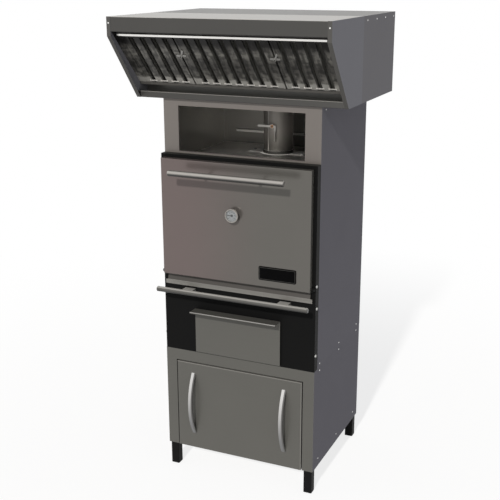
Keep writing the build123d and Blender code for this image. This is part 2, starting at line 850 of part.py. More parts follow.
def flue():
    """The flue pipe through the niche, its base collar and the butterfly damper with its lever."""
    radius = flue_diameter / 2
    z_spindle = z_niche_floor + damper_height

    def along(y_low, y_high, diameter):
        """A round bar on the damper's axis."""
        return rod((0, y_low, z_spindle), (0, y_high, z_spindle), diameter)

    pipe_front = flue_from_front - radius
    pipe_back = flue_from_front + radius
    pipe_foot = (0, flue_from_front, z_firebox_top)
    pipe_top = (0, flue_from_front, z_hood + flue_into_hood)
    bore = damper_spindle + 2 * running_fit
    bush_front = pipe_front - damper_bush_reach
    lever_back = bush_front - damper_lever_gap
    spindle_end = pipe_back + damper_spindle_reach
    pipe = tube(pipe_foot, pipe_top, flue_diameter, sheet)
    add("flue_pipe", pipe - along(bush_front, spindle_end, bore))

    centre = Pos(0, flue_from_front)
    wing = centre * RectangleRounded(2 * collar_bolt_x + 2 * bolt_head, collar_depth, 2 * bend)
    hole = centre * Circle(radius)
    plate = wing + centre * Circle(radius + flange) - hole
    sleeve = centre * Circle(radius + collar_thickness) - hole
    collar = upwards(plate, z_niche_floor, z_niche_floor + collar_thickness)
    add("flue_collar", collar + upwards(sleeve, z_niche_floor, z_niche_floor + collar_sleeve))

    vane_radius = radius - sheet - damper_vane_gap
    vane = Pos(0, flue_from_front, z_spindle) * Cylinder(vane_radius, damper_vane_thickness)
    lever_front = lever_back - damper_lever_thickness
    add("damper_vane", vane + along(lever_back - damper_spindle_reach, spindle_end, damper_spindle))

    bush = along(bush_front, pipe_front + damper_bush_sink, damper_bush_diameter)
    bush -= along(bush_front, flue_from_front, bore)
    bush -= Pos(0, flue_from_front, z_spindle) * Cylinder(radius, 2 * damper_bush_diameter)
    add("damper_bush", bush)

    half = damper_lever_width / 2
    offset_x = damper_grip_offset
    arm = rectangle((-damper_lever_length, -half), (offset_x, half))
    arm += Pos(-damper_lever_length, 0) * Circle(half)
    arm += Circle(damper_boss / 2) + Pos(offset_x, 0) * Circle(half)
    arm += rectangle((offset_x - half, -damper_grip_drop), (offset_x + half, 0))
    arm -= Circle(damper_spindle / 2)
    lever = backwards(Pos(0, z_spindle) * arm, lever_front, lever_back)
    grip_y = (lever_front + lever_back) / 2
    grip_top = z_spindle - damper_grip_drop
    grip_foot = grip_top - damper_grip_length
    lever += rod((offset_x, grip_y, grip_foot), (offset_x, grip_y, grip_top), damper_grip_diameter)
    add("damper_lever", lever)


def channel(low, high, web, opens):
    """The section of one baffle, a web with two legs. It opens to +1, the front, or to -1, the back."""
    tip = web + opens * baffle_leg
    outer = rectangle((low, min(web, tip)), (high, max(web, tip)))
    corners = outer.vertices().sort_by(Axis.Y)
    outer = fillet(corners[:2] if opens > 0 else corners[2:], baffle_bend)
    floor = web + opens * baffle_sheet
    return outer - rectangle(
        (low + baffle_sheet, min(floor, tip)), (high - baffle_sheet, max(floor, tip))
    )


def cassette(low, high):
    """A grease filter: a folded frame round two rows of channels that overlap like a labyrinth."""
    wall = baffle_sheet
    outline = rectangle((low, 0), (high, filter_length))
    inside = rectangle((low + wall, wall), (high - wall, filter_length - wall))
    window = rectangle(
        (low + cassette_side, cassette_foot), (high - cassette_side, filter_length - cassette_head)
    )
    lip = cassette_lip
    back_window = rectangle((low + lip, lip), (high - lip, filter_length - lip))
    frame = upwards(outline - inside, -filter_depth, 0)
    frame += upwards(outline - window, -wall, 0)
    foot = rectangle((low + wall, cassette_foot - wall), (high - wall, cassette_foot))
    frame += upwards(foot, -drip_ledge, 0)
    frame += upwards(outline - back_window, -filter_depth, wall - filter_depth)

    slots = int((high - low - 2 * slot_margin - slot_width) // slot_pitch) + 1
    first = (low + high - (slots - 1) * slot_pitch - slot_width) / 2
    slot_starts = [first + index * slot_pitch for index in range(slots)]
    slot_edges = [(start, start + slot_width) for start in slot_starts]
    edges = [low + wall] + [edge for pair in slot_edges for edge in pair] + [high - wall]
    front_web = -wall
    back_web = wall - filter_depth
    sections = [channel(left, right, front_web, -1) for left, right in zip(edges[::2], edges[1::2])]
    for left, right in slot_edges:
        sections.append(channel(left - baffle_overlap, right + baffle_overlap, back_web, 1))
    # The sections are drawn across the slots, with the depth of the filter as their second axis
    across_plane = Plane(origin=(0, filter_length - wall, 0), x_dir=(1, 0, 0), z_dir=(0, -1, 0))
    baffles = extrude(across_plane * (Sketch() + sections), amount=filter_length - 2 * wall)
    return filter_plane * (frame + baffles)


def hood():
    """The extraction hood: canopy and plenum."""
    inside = half_hood - sheet
    z_front = z_top - canopy_front_height
    z_fascia = z_top - fascia_height
    outline = Polyline(
        (-hood_overhang, z_top),
        (-hood_overhang, z_front),
        (hood_foot_back, z_hood),
        (y_seam, z_hood),
        (y_seam, z_top),
        close=True,
    )
    side = across(make_face(outline), inside, half_hood)
    path = [(-hood_overhang, z_top), (-hood_overhang, z_front), (hood_foot_back, z_hood)]
    side += across(folded(path), half_hood - side_flange, half_hood)
    add("canopy_side_right", side)
    add("canopy_side_left", mirror(side, about=Plane.YZ))

    fascia_y = -hood_overhang + sheet
    path = [
        (fascia_y + flange, z_top - sheet),
        (fascia_y, z_top - sheet),
        (fascia_y, z_fascia),
        (fascia_y + flange / 2, z_fascia),
    ]
    add("canopy_fascia", across(folded(path), -inside, inside))
    path = [(y_seam, z_top - flange), (y_seam, z_top), (fascia_y, z_top)]
    add("canopy_top", across(folded(path), -inside, inside))

    path = [
        (body_depth, z_top - flange),
        (body_depth, z_top),
        (y_seam, z_top),
        (y_seam, z_top - flange),
    ]
    add("plenum_top", across(folded(path), -inside, inside))
    path = [(half_hood, y_seam), (half_hood, body_depth), (-half_hood, body_depth), (-half_hood, y_seam)]
    wrap = upwards(folded(path), z_hood, z_top)
    centre = Pos(0, z_top - exhaust_drop)
    bore = centre * Circle(exhaust_diameter / 2)
    collar = centre * Circle(exhaust_diameter / 2 + sheet) - bore
    wrap -= backwards(bore, body_depth - sheet, body_depth)
    add("plenum_wrap", wrap + backwards(collar, body_depth - exhaust_collar, body_depth))


def filters():
    """The three cassettes, the frame that holds them, their turn-clips and the grease gutter."""
    inside = half_hood - sheet
    gap = sliding_gap
    back = -filter_depth - gap
    strut_top = filter_length - flange

    def at(up, out):
        """A point of the hood's section, from its place along and out of the filter plane."""
        point = filter_origin + up_incline * up + out_incline * out
        return (point.Y, point.Z)

    rail_foot = filter_length - rail_lap
    rail_top = filter_length + lift_room
    path = [at(rail_foot, gap), at(rail_top, gap), at(rail_top, back), at(strut_top, back)]
    rail_end = half_bank + rail_end_lap
    add("filter_top_rail", across(folded(path, radius=sheet), -rail_end, rail_end))

    path = [at(flange, back), at(-gap, back), at(-gap, gap), at(ledge_lip, gap)]
    support = across(folded(path, radius=sheet), -inside, inside)
    clip_up = filter_length - clip_drop
    clip_plane = Plane(origin=filter_origin + up_incline * clip_up, x_dir=(1, 0, 0), z_dir=out_incline)
    seam_x = (middle_filter_width + seam_gap) / 2
    seam = Pos(seam_x, 0)
    strut = seam * rectangle((-mullion_width / 2, -gap), (mullion_width / 2, strut_top))
    blank = rectangle((half_bank + gap, 0), (inside, rail_top - bend))
    struts = extrude(filter_plane.offset(back - sheet) * strut, amount=sheet)
    struts += extrude(filter_plane.offset(gap - sheet) * blank, amount=sheet)
    stud_end = clip_standoff + clip_hub_height + clip_stud_end
    struts += extrude(clip_plane.offset(back) * seam * Circle(clip_stud / 2), amount=stud_end - back)
    add("filter_support", support + both_sides(struts))

    half_middle = middle_filter_width / 2
    add("filter_middle", cassette(-half_middle, half_middle))
    add("filter_right", cassette(half_middle + seam_gap, half_bank))
    add("filter_left", cassette(-half_bank, -half_middle - seam_gap))

    arm = rectangle((0, -clip_arm_width / 2), (clip_arm, clip_arm_width / 2))
    arm += Pos(clip_arm) * Circle(clip_arm_width / 2)
    plate = RectangleRounded(clip_length, clip_width, clip_corner) + Rot(0, 0, clip_arm_turn) * arm
    bar_plane = clip_plane.offset(clip_standoff)
    clip = extrude(bar_plane * plate, amount=clip_thickness)
    clip += extrude(bar_plane * Circle(clip_hub / 2), amount=clip_hub_height)
    clip -= extrude(bar_plane * Circle(clip_stud / 2 + running_fit), amount=clip_hub_height)
    add("filter_clip_right", Pos(seam_x, 0, 0) * clip)
    add("filter_clip_left", Pos(-seam_x, 0, 0) * clip)

    front = hood_foot_back + gutter_gap
    lip_y = front + gutter_lip_run
    lip_z = z_hood + gutter_lip
    rear = front + gutter_depth
    rear_top = z_hood + gutter_back
    path = [
        (lip_y + gutter_lip_back, lip_z),
        (lip_y, lip_z),
        (front, z_hood),
        (rear, z_hood),
        (rear, rear_top),
    ]
    add("grease_gutter", across(folded(path, radius=gutter_bend), -inside, inside))
    floor_back = body_depth - sheet
    floor = across(folded([(rear, rear_top), (rear, z_hood), (floor_back, z_hood)]), -inside, inside)
    floor -= Pos(0, flue_from_front, z_hood) * Cylinder(flue_diameter / 2 + panel_gap, 4 * sheet)
    floor -= corner_notches(inside, rear, floor_back, z_hood, z_hood + bend)
    add("plenum_floor", floor)


def spaced(first, last, count):
    """Evenly spaced values from the first to the last."""
    return [first + (last - first) * index / (count - 1) for index in range(count)]


def fasteners():
    """Blind rivets along the seams and the hexagon bolts."""
    rivets = []
    bolts = []
    seam_row = spaced(rivet_from_front, body_depth - rivet_from_back, 3)
    foot_row = spaced(rivet_from_front, body_depth - foot_rivet_from_back, 3)
    plenum_row = spaced(y_seam + plenum_rivet_front, body_depth - plenum_rivet_back, plenum_rivets)
    for side in (-1, 1):
        outwards = (side, 0, 0)
        x = side * half_body
        for y in seam_row:
            rivets.append(rivet((x, y, z_oven + seam_rivet_offset), outwards))
            rivets.append(rivet((x, y, z_oven - seam_rivet_offset), outwards))
        for y in foot_row:
            rivets.append(rivet((x, y, z_stand + foot_rivet_rise), outwards))
        rivets.append(rivet((x, top_rivet_y, z_hood - seam_rivet_offset), outwards))
        for y in plenum_row:
            rivets.append(rivet((side * half_hood, y, z_top - hood_rivet_drop), outwards))
        fascia_x = side * (half_hood - side_flange / 2)
        rivets.append(rivet((fascia_x, -hood_overhang, z_top - fascia_rivet_drop), (0, -1, 0)))
        for y, rise in frame_bolts:
            bolts.append(hex_head((x, y, z_oven + rise), outwards, bolt_head, bolt_proud))
        for y in (flue_from_front - collar_bolt_y, flue_from_front + collar_bolt_y):
            place = (side * collar_bolt_x, y, z_niche_floor + collar_thickness)
            bolts.append(hex_head(place, (0, 0, 1), bolt_head, bolt_proud))
    add("rivets", together(rivets))
    add("bolts", together(bolts))


stand()
coal_drawer()
oven_front()
firebox()
ash_drawer()
casing()
door()
thermometer()
flue()
hood()
filters()
fasteners()

os.makedirs("parts", exist_ok=True)
for name, shape in parts.items():
    export_step(shape, os.path.join("parts", name + ".step"))
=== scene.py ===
# %% [markdown]
# # A charcoal barbecue oven below an extraction hood
# The oven stands on a cabinet, and a warming niche and a hood stand on the oven. Its solids come
# from a CAD model that is already in place, so this lesson never moves them. It gives every solid
# a finish, and adds the parts that are too fine for CAD: rivet heads, bolt heads, the trim above
# the filters, the seam of the flue pipe, a folded lid, drip tabs, a woven gasket, a nameplate, and
# the marks, numbers and pointer of the thermometer.

# %% The frame
import json
from math import ceil, cos, pi, radians, sin

import bmesh
import bpy
from mathutils import Matrix, Vector


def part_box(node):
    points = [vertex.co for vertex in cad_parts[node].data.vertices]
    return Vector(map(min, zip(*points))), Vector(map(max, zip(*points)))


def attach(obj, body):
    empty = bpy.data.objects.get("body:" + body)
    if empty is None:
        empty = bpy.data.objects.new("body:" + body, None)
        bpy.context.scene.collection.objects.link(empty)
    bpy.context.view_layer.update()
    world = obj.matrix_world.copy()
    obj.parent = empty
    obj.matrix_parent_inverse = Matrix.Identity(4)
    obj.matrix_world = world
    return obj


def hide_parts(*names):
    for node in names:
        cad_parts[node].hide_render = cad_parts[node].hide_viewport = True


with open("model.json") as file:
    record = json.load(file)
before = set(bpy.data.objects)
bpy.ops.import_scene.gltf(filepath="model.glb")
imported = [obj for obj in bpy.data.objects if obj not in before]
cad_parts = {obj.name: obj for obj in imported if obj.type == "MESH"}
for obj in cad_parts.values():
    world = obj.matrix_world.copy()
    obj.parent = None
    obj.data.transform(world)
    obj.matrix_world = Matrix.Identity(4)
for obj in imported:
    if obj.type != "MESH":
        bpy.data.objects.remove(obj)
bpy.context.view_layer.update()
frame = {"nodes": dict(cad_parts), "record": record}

nodes = frame["nodes"]
print("CAD solids:", len(nodes))

# %% [markdown]
# ## The camera
# The picture was taken from the right of the oven and from a little above its top, with a long
# lens that keeps the upright edges nearly parallel. A constraint could aim the camera at a point,
# but three plain turns say what it does. The first swings it to the left, the second lifts its view
# from straight down to a little below level, and the third rolls it by part of a degree.

# %% The camera
camera_place = Vector((1.6816, -3.8358, 2.3539))
camera_azimuth = radians(24.15)
camera_pitch = radians(16.87)
camera_roll = radians(-0.187)
camera_lens = 67.11
film_width = 36.0
camera_data = bpy.data.cameras.new("camera")
camera_data.lens = camera_lens
camera_data.sensor_width = film_width
camera = bpy.data.objects.new("camera", camera_data)
turn = Matrix.Rotation(camera_azimuth, 4, "Z")
turn = turn @ Matrix.Rotation(pi / 2 - camera_pitch, 4, "X")
turn = turn @ Matrix.Rotation(camera_roll, 4, "Z")
camera.matrix_world = Matrix.Translation(camera_place) @ turn
bpy.context.scene.collection.objects.link(camera)
bpy.context.scene.camera = camera
print("camera looks along", [round(x, 3) for x in -turn.col[2].xyz])

# %% [markdown]
# ## Arithmetic on shader values
# A shader is a graph of nodes. The nodes could be made and linked one by one, as in Blender's
# editor, but then a single minus sign takes three lines. Plain sums such as 1 - mask read best as
# Python, so a small class wraps one output of a node, and each operator adds a Math node. Every
# other node comes from one method, which takes the node's type, its settings and what goes into
# its sockets.

# %% A value in a shader
class Reading:
    """One output of a node. Arithmetic on it adds Math nodes."""

    def __init__(self, finish, socket):
        self.finish = finish
        self.socket = socket

    def combine(self, operation, first, second):
        return self.finish.node("ShaderNodeMath", {"operation": operation}, {0: first, 1: second})

    def __add__(self, other):
        return self.combine("ADD", self, other)

    def __sub__(self, other):
        return self.combine("SUBTRACT", self, other)

    def __rsub__(self, other):
        return self.combine("SUBTRACT", other, self)

    def __mul__(self, other):
        return self.combine("MULTIPLY", self, other)

    def __gt__(self, limit):
        return self.combine("GREATER_THAN", self, limit)

    def __abs__(self):
        return self.combine("ABSOLUTE", self, 0.0)

    __radd__ = __add__
    __rmul__ = __mul__


print("operators that add Math nodes: + - * > and abs")


# %% A finish, and the one method that adds its nodes
class Finish:
    """The shader of a material, or of the sky."""

    def __init__(self, owner):
        owner.use_nodes = True
        self.owner = owner
        self.tree = owner.node_tree
        self.tree.nodes.clear()

    def node(self, kind, settings, sockets, output=0):
        """Adds a node: its settings first, then a number or a link into each socket."""
        made = self.tree.nodes.new(kind)
        for name, value in settings.items():
            setattr(made, name, value)
        for name, value in sockets.items():
            if isinstance(value, Reading):
                self.tree.links.new(value.socket, made.inputs[name])
            else:
                made.inputs[name].default_value = value
        return Reading(self, made.outputs[output]) if made.outputs else None


def linear(red, green, blue):
    """A colour given as it looks on a screen, from 0 to 255, as the shader needs it."""
    values = [value / 255 for value in (red, green, blue)]
    curve = [v / 12.92 if v <= 0.04045 else ((v + 0.055) / 1.055) ** 2.4 for v in values]
    return (*curve, 1.0)


print("a grey of 125 is", [round(v, 3) for v in linear(125, 125, 125)[:3]], "in the shader")

# %% [markdown]
# ## Patterns
# Sheet steel is never one flat colour. Rolling and brushing leave fine lines, and handling leaves
# soft clouds where the gloss changes. A picture of scratched steel could give both, but it needs an
# unwrapped mesh and shows seams. Noise needs neither: the lines are noise that is stretched along
# one axis, and the clouds are the same noise left round. Masks pick a part of a sheet, by its
# place on the oven or by the way that its faces look.

# %% Lines and clouds
def spot_on(finish):
    """The position on the oven, in metres."""
    return finish.node("ShaderNodeTexCoord", {}, {}, "Object")


def place(finish, stretch):
    """The position on the oven with each axis stretched."""
    sockets = {0: spot_on(finish), 1: stretch}
    return finish.node("ShaderNodeVectorMath", {"operation": "MULTIPLY"}, sockets)


def noise(finish, stretch, detail=3.0):
    """Noise from 0 to 1, about 0.5 on average."""
    spot = place(finish, stretch)
    return finish.node("ShaderNodeTexNoise", {}, {"Vector": spot, "Scale": 1.0, "Detail": detail})


print("noise: stretched for lines, round for clouds")


# %% Masks
def ramp(finish, value, start, end):
    """Rises smoothly from 0 to 1 as the value goes from start to end."""
    sockets = {"Value": value, "From Min": start, "From Max": end}
    return finish.node("ShaderNodeMapRange", {"interpolation_type": "SMOOTHSTEP"}, sockets)


def level(axis, start, end):
    """A mask that rises along one axis of the oven."""
    def mask(finish):
        part = finish.node("ShaderNodeSeparateXYZ", {}, {"Vector": spot_on(finish)}, axis)
        return ramp(finish, part, start, end)
    return mask


def facing(finish, axis):
    """How far a face looks along an axis, from -1 to 1."""
    normal = finish.node("ShaderNodeTexCoord", {}, {}, "Normal")
    return finish.node("ShaderNodeSeparateXYZ", {}, {"Vector": normal}, axis)


def looks_along(axis):
    """A mask of the faces that look along one axis, either way."""
    def mask(finish):
        return abs(facing(finish, axis)) > 0.5
    return mask


def looks_up(finish):
    """A mask of the faces that look upwards."""
    return facing(finish, "Z") > 0.4


def turned_up(start, end):
    """A mask that rises as a face turns from downwards to upwards."""
    def mask(finish):
        return ramp(finish, facing(finish, "Z"), start, end)
    return mask


soft_edge = 0.001


def around(spot, radius):
    """A mask of everything near one spot on the oven, with a soft edge."""
    def mask(finish):
        sockets = {0: spot_on(finish), 1: spot}
        away = finish.node("ShaderNodeVectorMath", {"operation": "DISTANCE"}, sockets, "Value")
        return 1 - ramp(finish, away, radius, radius + soft_edge)
    return mask


def inner_side(finish):
    """A mask of the faces that look towards the middle of the oven."""
    settings = {"operation": "DOT_PRODUCT"}
    normal = finish.node("ShaderNodeTexCoord", {}, {}, "Normal")
    sideways = place(finish, (1.0, 1.0, 0.0))
    outwards = finish.node("ShaderNodeVectorMath", settings, {0: normal, 1: sideways}, "Value")
    return 1 - (outwards > 0.0)


print("masks: a level, a way to look, a spot, the inner side")


# %% Blends, bumps and the main shader
def blend(finish, mask, low, high):
    """A colour between two others."""
    settings = {"data_type": "RGBA", "clamp_factor": True}
    return finish.node("ShaderNodeMix", settings, {0: mask, 6: low, 7: high}, 2)


def shade(colour, factor):
    """A colour made lighter or darker."""
    return (*[channel * factor for channel in colour[:3]], 1.0)


def bumps(finish, height, distance, strength):
    """The surface normal, tilted by a height pattern."""
    sockets = {"Height": height, "Distance": distance, "Strength": strength}
    return finish.node("ShaderNodeBump", {}, sockets)


def close(finish, constants, links):
    """Ends a finish: its main shader, with plain numbers and patterns, and the output."""
    shader = finish.node("ShaderNodeBsdfPrincipled", {}, {**constants, **links})
    finish.node("ShaderNodeOutputMaterial", {}, {"Surface": shader})
    return finish.owner


print("a grey of 0.5 made darker by a tenth:", shade((0.5, 0.5, 0.5), 0.9))

# %% [markdown]
# ## Paints for steel
# A paint is a small function that gives a finish its base colour from the grain. It could be a
# colour alone, but a function can also ask where on the oven it is. A plain paint is one colour
# that the grain makes a little lighter or darker. Two paints can share a sheet, parted by a mask:
# the inside and the outside of a casing panel, or the lip and the trough of the gutter.

# %% Paints
def plain(red, green, blue, contrast=0.07):
    """One colour, with the grain in it."""
    colour = linear(red, green, blue)

    def paint(finish, grain):
        return blend(finish, grain, shade(colour, 1 - contrast), shade(colour, 1 + contrast))
    return paint


def parted(mask, low, high):
    """Two paints, the second where the mask is 1."""
    def paint(finish, grain):
        return blend(finish, mask(finish), low(finish, grain), high(finish, grain))
    return paint


print("paints: plain, or parted by a mask")

# %% [markdown]
# ## Satin steel
# The real oven is satin stainless steel, brushed in one direction. A shader that is all metal
# mirrors the white room and looks like chalk. So a part of each shader is metal, and the rest is
# a plain grey that scatters light and shows shadows. The share differs from panel to panel, and
# the sides, which are seen at a slant, get hardly any metal. The lines change the roughness and
# tilt the surface a little, which gives the sheen its direction.

# %% Brushed steel
across_lines = 900.0
along_lines = 9.0
line_depth = 0.0002
line_tilt = 0.25
line_gloss = 0.08
cloud_gloss = 0.04
polished_metal = 0.95
line_stretch = {
    "X": (along_lines, across_lines, across_lines),
    "Y": (across_lines, along_lines, across_lines),
    "Z": (across_lines, across_lines, along_lines),
}
cloud_stretch = (5.0, 5.0, 5.0)


def brushed(name, paint, along, roughness, metallic=0.35, specular=0.3, bare=None):
    """Satin sheet steel, with brushed lines along one axis. A mask may pick polished parts."""
    finish = Finish(bpy.data.materials.new(name))
    lines = noise(finish, line_stretch[along])
    clouds = noise(finish, cloud_stretch, 4.0)
    smoothest = roughness - (line_gloss + cloud_gloss) / 2
    gloss = smoothest + line_gloss * lines + cloud_gloss * clouds
    normal = bumps(finish, lines, line_depth, line_tilt)
    base = paint(finish, 0.5 * lines + 0.5 * clouds)
    metal = metallic + (polished_metal - metallic) * bare(finish) if bare else metallic
    links = {"Base Color": base, "Roughness": gloss, "Normal": normal, "Metallic": metal}
    return close(finish, {"Specular IOR Level": specular}, links)


cad_materials = len(bpy.data.materials)


def count_finishes():
    """Prints how many finishes there are, without the CAD model's own."""
    print("finishes so far:", len(bpy.data.materials) - cad_materials)


print("brushed steel has", across_lines, "lines a metre across and", along_lines, "along")

# %% [markdown]
# ## The sheets of the door, stand and casing
# The same steel looks warmer on the left of the door, where heat has tinted it, and the panels
# show different greys. One steel with a mask for each panel could give that, but a finish for each
# panel is easier to read and to change. The inner sides of the casing are polished, so that the
# niche mirrors its own pipe and floor.

# %% Door, stand and casing
# After the axis of its lines, each finish has its roughness, its share of metal and its shine.
door_tint_left = -0.3
door_tint_right = 0.2
warm_grey = plain(102, 92, 90)
cool_grey = plain(93, 91, 87)
door_paint = parted(level("X", door_tint_left, door_tint_right), warm_grey, cool_grey)
door_steel = brushed("door_steel", door_paint, "X", 0.22, 0.45)
front_grey = plain(86, 85, 81)
stand_steel = brushed("stand_steel", front_grey, "X", 0.36)
niche_frame_steel = brushed("niche_frame_steel", plain(109, 104, 100), "Z", 0.36)
casing_paint = parted(inner_side, plain(104, 103, 109), plain(142, 140, 136))
casing_steel = brushed("casing_steel", casing_paint, "Z", 0.34, 0.05, 0.0, inner_side)
stand_side_steel = brushed("stand_side_steel", plain(103, 102, 108), "Z", 0.38, 0.05, 0.0)
count_finishes()

# %% [markdown]
# ## The sheets of the hood
# The hood's front edges are folded from the side sheets, and painted shade makes them nearly as
# dark as the fascia. The hood's top is painted lighter than its sides: painted light on the face
# that looks up. The gutter below the filters has a painted highlight on its upper edge, a dark lip
# and a trough painted lighter against its shade. The sill below the door has a lip painted light,
# and above it a slope darkened by the painted shadow of the door. Each sheet could be cut where its
# grey changes, but the solids stay whole. A height, a depth or the way a face looks on the oven
# parts their greys.

# %% Hood, gutter and sill
lip_back = (-0.188, -0.187)
sill_turn = (0.9665, 0.9675)
fascia_steel = brushed("fascia_steel", plain(68, 67, 65), "X", 0.36)
# Faces that don't look along X are the folded front edges, painted dark as painted shade.
hood_side_paint = parted(looks_along("X"), plain(80, 79, 77), plain(125, 125, 130))
hood_side_steel = brushed("hood_side_steel", hood_side_paint, "Z", 0.38, 0.05, 0.0)
# The hood's top is painted lighter than its sides: painted light on the face that looks up.
hood_top_steel = brushed("hood_top_steel", plain(170, 168, 164), "X", 0.42)
plenum_top_steel = brushed("plenum_top_steel", plain(110, 109, 107), "X", 0.42)
plenum_steel = brushed("plenum_steel", plain(120, 119, 122), "X", 0.38, 0.05, 0.0)
# Where the lip looks up it gets a painted highlight, and the trough behind the lip is painted
# lighter against its shade.
gutter_lip = parted(looks_up, plain(58, 57, 55), plain(145, 143, 139))
gutter_paint = parted(level("Y", *lip_back), gutter_lip, plain(122, 121, 117))
gutter_steel = brushed("gutter_steel", gutter_paint, "X", 0.30, 0.2)
# Below the turn the lip is painted light, and above it the slope is painted dark as the door's
# painted shadow.
sill_paint = parted(level("Z", *sill_turn), plain(122, 120, 116), plain(66, 63, 60))
sill_steel = brushed("sill_steel", sill_paint, "X", 0.36)
count_finishes()

# %% [markdown]
# ## Bars and handles
# The guard rail and the door handle are polished round bars. A real bar mirrors a bright room from
# above and a dark one from below, but this room is white all round. Dark cards round the oven
# would help, but every panel would mirror them too. So painted shade makes the bars darker as they
# turn downwards, a painted highlight runs along the top of the rail, and the handle's crown is
# painted a darker grey as part of that painted shading. The bows on the drawer are painted lighter
# towards their upper ends as painted light, and their right-hand third gets a painted shadow.

# %% Rail, handle and bows
rail_shade = (-0.7, 0.2)
rail_gleam = (0.45, 0.85)
handle_shade = (-0.4, 0.45)
handle_top = (0.75, 0.98)
bow_gleam = (0.22, 0.48)
# Painted shade darkens the rail as it turns down, and a painted highlight runs along its top.
rail_body = parted(turned_up(*rail_shade), plain(24, 24, 23), plain(78, 77, 74))
rail_paint = parted(turned_up(*rail_gleam), rail_body, plain(150, 148, 144))
rail_steel = brushed("rail_steel", rail_paint, "X", 0.26, 0.1, 0.3)
# The handle gets the same painted shade, and its crown is painted a darker grey.
handle_body = parted(turned_up(*handle_shade), plain(40, 39, 38), plain(152, 149, 145))
handle_paint = parted(turned_up(*handle_top), handle_body, plain(84, 82, 79))
handle_steel = brushed("handle_steel", handle_paint, "X", 0.26, 0.1, 0.3)
# The bows are painted lighter towards their upper ends as painted light.
bow_paint = parted(level("Z", *bow_gleam), plain(104, 104, 105), plain(176, 175, 174))


def bow_shadow(finish):
    """A mask of the right-hand third of both bows, where a painted shadow goes."""
    left_bow = level("X", -0.230, -0.227)
    gap_between = level("X", 0.0, 0.1)
    right_bow = level("X", 0.234, 0.237)
    return left_bow(finish) - gap_between(finish) + right_bow(finish)


shaded_bow = parted(bow_shadow, bow_paint, plain(84, 83, 82))
bow_steel = brushed("bow_steel", shaded_bow, "X", 0.3, 0.2, 0.4)
count_finishes()

# %% [markdown]
# ## Drawers and the front frame
# Each drawer's front is a folded sheet. Where it folds back, its edge catches the light, so the
# upper and right-hand edges of the charcoal drawer get a painted highlight. So does the upper side
# of the rounded hem of the ash drawer's grip, and its lower side is painted dark as painted shade.
# Light edges could be drawn on a mesh by hand, but a place on the oven is exact and stays with the
# sheet. The frame round the oven's mouth is black, and its top faces are painted a little grey as
# painted light.

# %% Drawers and frame
hem_back = (-0.2895, -0.2880)
right_edge = (0.3135, 0.3145)
upper_edge = (0.5540, 0.5550)
hem_gleam = (0.2, 0.6)
# This lighter grey is a painted highlight on the charcoal drawer's upper and right-hand edges.
edge_highlight = plain(116, 114, 110)
# The hem is painted light where it turns up and dark where it turns down: painted highlight and
# shade.
ash_hem = parted(turned_up(*hem_gleam), plain(66, 65, 62), plain(150, 148, 145))
ash_paint = parted(level("Y", *hem_back), ash_hem, front_grey)
ash_front_steel = brushed("ash_front_steel", ash_paint, "X", 0.36)
coal_side = parted(level("X", *right_edge), front_grey, edge_highlight)
coal_paint = parted(level("Z", *upper_edge), coal_side, edge_highlight)
coal_front_steel = brushed("coal_front_steel", coal_paint, "X", 0.36)
# The frame's top faces are painted a little grey as painted light.
frame_paint = parted(looks_up, plain(15, 15, 15), plain(36, 36, 34))
frame_coat = brushed("frame_coat", frame_paint, "X", 0.5, 0.0, 0.05)
count_finishes()

# %% [markdown]
# ## Polished and heated steel
# The trim, the brackets and the tabs are mostly metal, because they mirror the room without a
# shadow of their own. The niche's floor and sheets mirror each other in the dark. The flue collar's
# upright ring is painted dark as painted shade, and its faces that look up match the mirror floor.
# The flue pipe is painted darker at its foot, as painted shade where the lamp's light reaches it,
# and lighter higher up. A hand-painted map could do that too, but a height is enough for a plain
# pipe. The hub of the damper's lever has the brass of its bush.

# %% Trim, niche and pipe
bright_steel = brushed("bright_steel", plain(108, 106, 102), "X", 0.44, 0.85)
top_rail_steel = brushed("top_rail_steel", plain(66, 64, 62), "X", 0.3, 0.2, 0.5)
polished_steel = brushed("polished_steel", plain(240, 238, 234), "X", 0.30, 0.9)
# The drip tabs are painted near white as a painted highlight.
drip_steel = brushed("drip_steel", plain(236, 233, 228), "X", 0.3, 0.6)
gauge_case_steel = brushed("gauge_case_steel", plain(142, 139, 135), "X", 0.3, 0.3)
# The collar's upright ring is painted dark as painted shade; what looks up matches the mirror
# floor.
collar_paint = parted(looks_up, plain(58, 57, 55), plain(244, 242, 237))
collar_steel = brushed("collar_steel", collar_paint, "X", 0.7, 0.9)
niche_floor_steel = brushed("niche_floor_steel", plain(252, 250, 246), "X", 0.3, 1.0)
inner_sheet = brushed("inner_sheet", plain(160, 158, 153), "Y", 0.3, 0.9)
bush_low, bush_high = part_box("damper_bush")
hub_reach = 0.011
lever_hub = around(tuple((bush_low + bush_high) / 2), hub_reach)
lever_paint = parted(lever_hub, plain(178, 175, 170), plain(196, 132, 70))
damper_steel = brushed("damper_steel", lever_paint, "X", 0.3, 0.9)
# The pipe is painted darker at its foot, as painted shade where the lamp's light reaches it.
flue_shade_fades = (1.52, 1.64)
flue_paint = parted(level("Z", *flue_shade_fades), plain(88, 86, 82), plain(150, 146, 141))
flue_steel = brushed("flue_steel", flue_paint, "Z", 0.6, 0.75)
count_finishes()

# %% [markdown]
# ## Filters with painted light and shade
# The grease filters are painted bright at the foot, as painted light where the lamp reaches below
# the shadow of the hood's edge, and their lowest rim is a duller grey. Higher up they are darker in
# a band, the top is painted nearly black below the hood's edge as that edge's painted shadow, and
# the grey is blotchy. The channels of the inner row are painted a flat grey that lifts their shade,
# as painted light, and whatever looks up lies in painted shadow. A painted picture could show all
# that, but ramps up the filter and two coarse noises do it for all three filters at once.

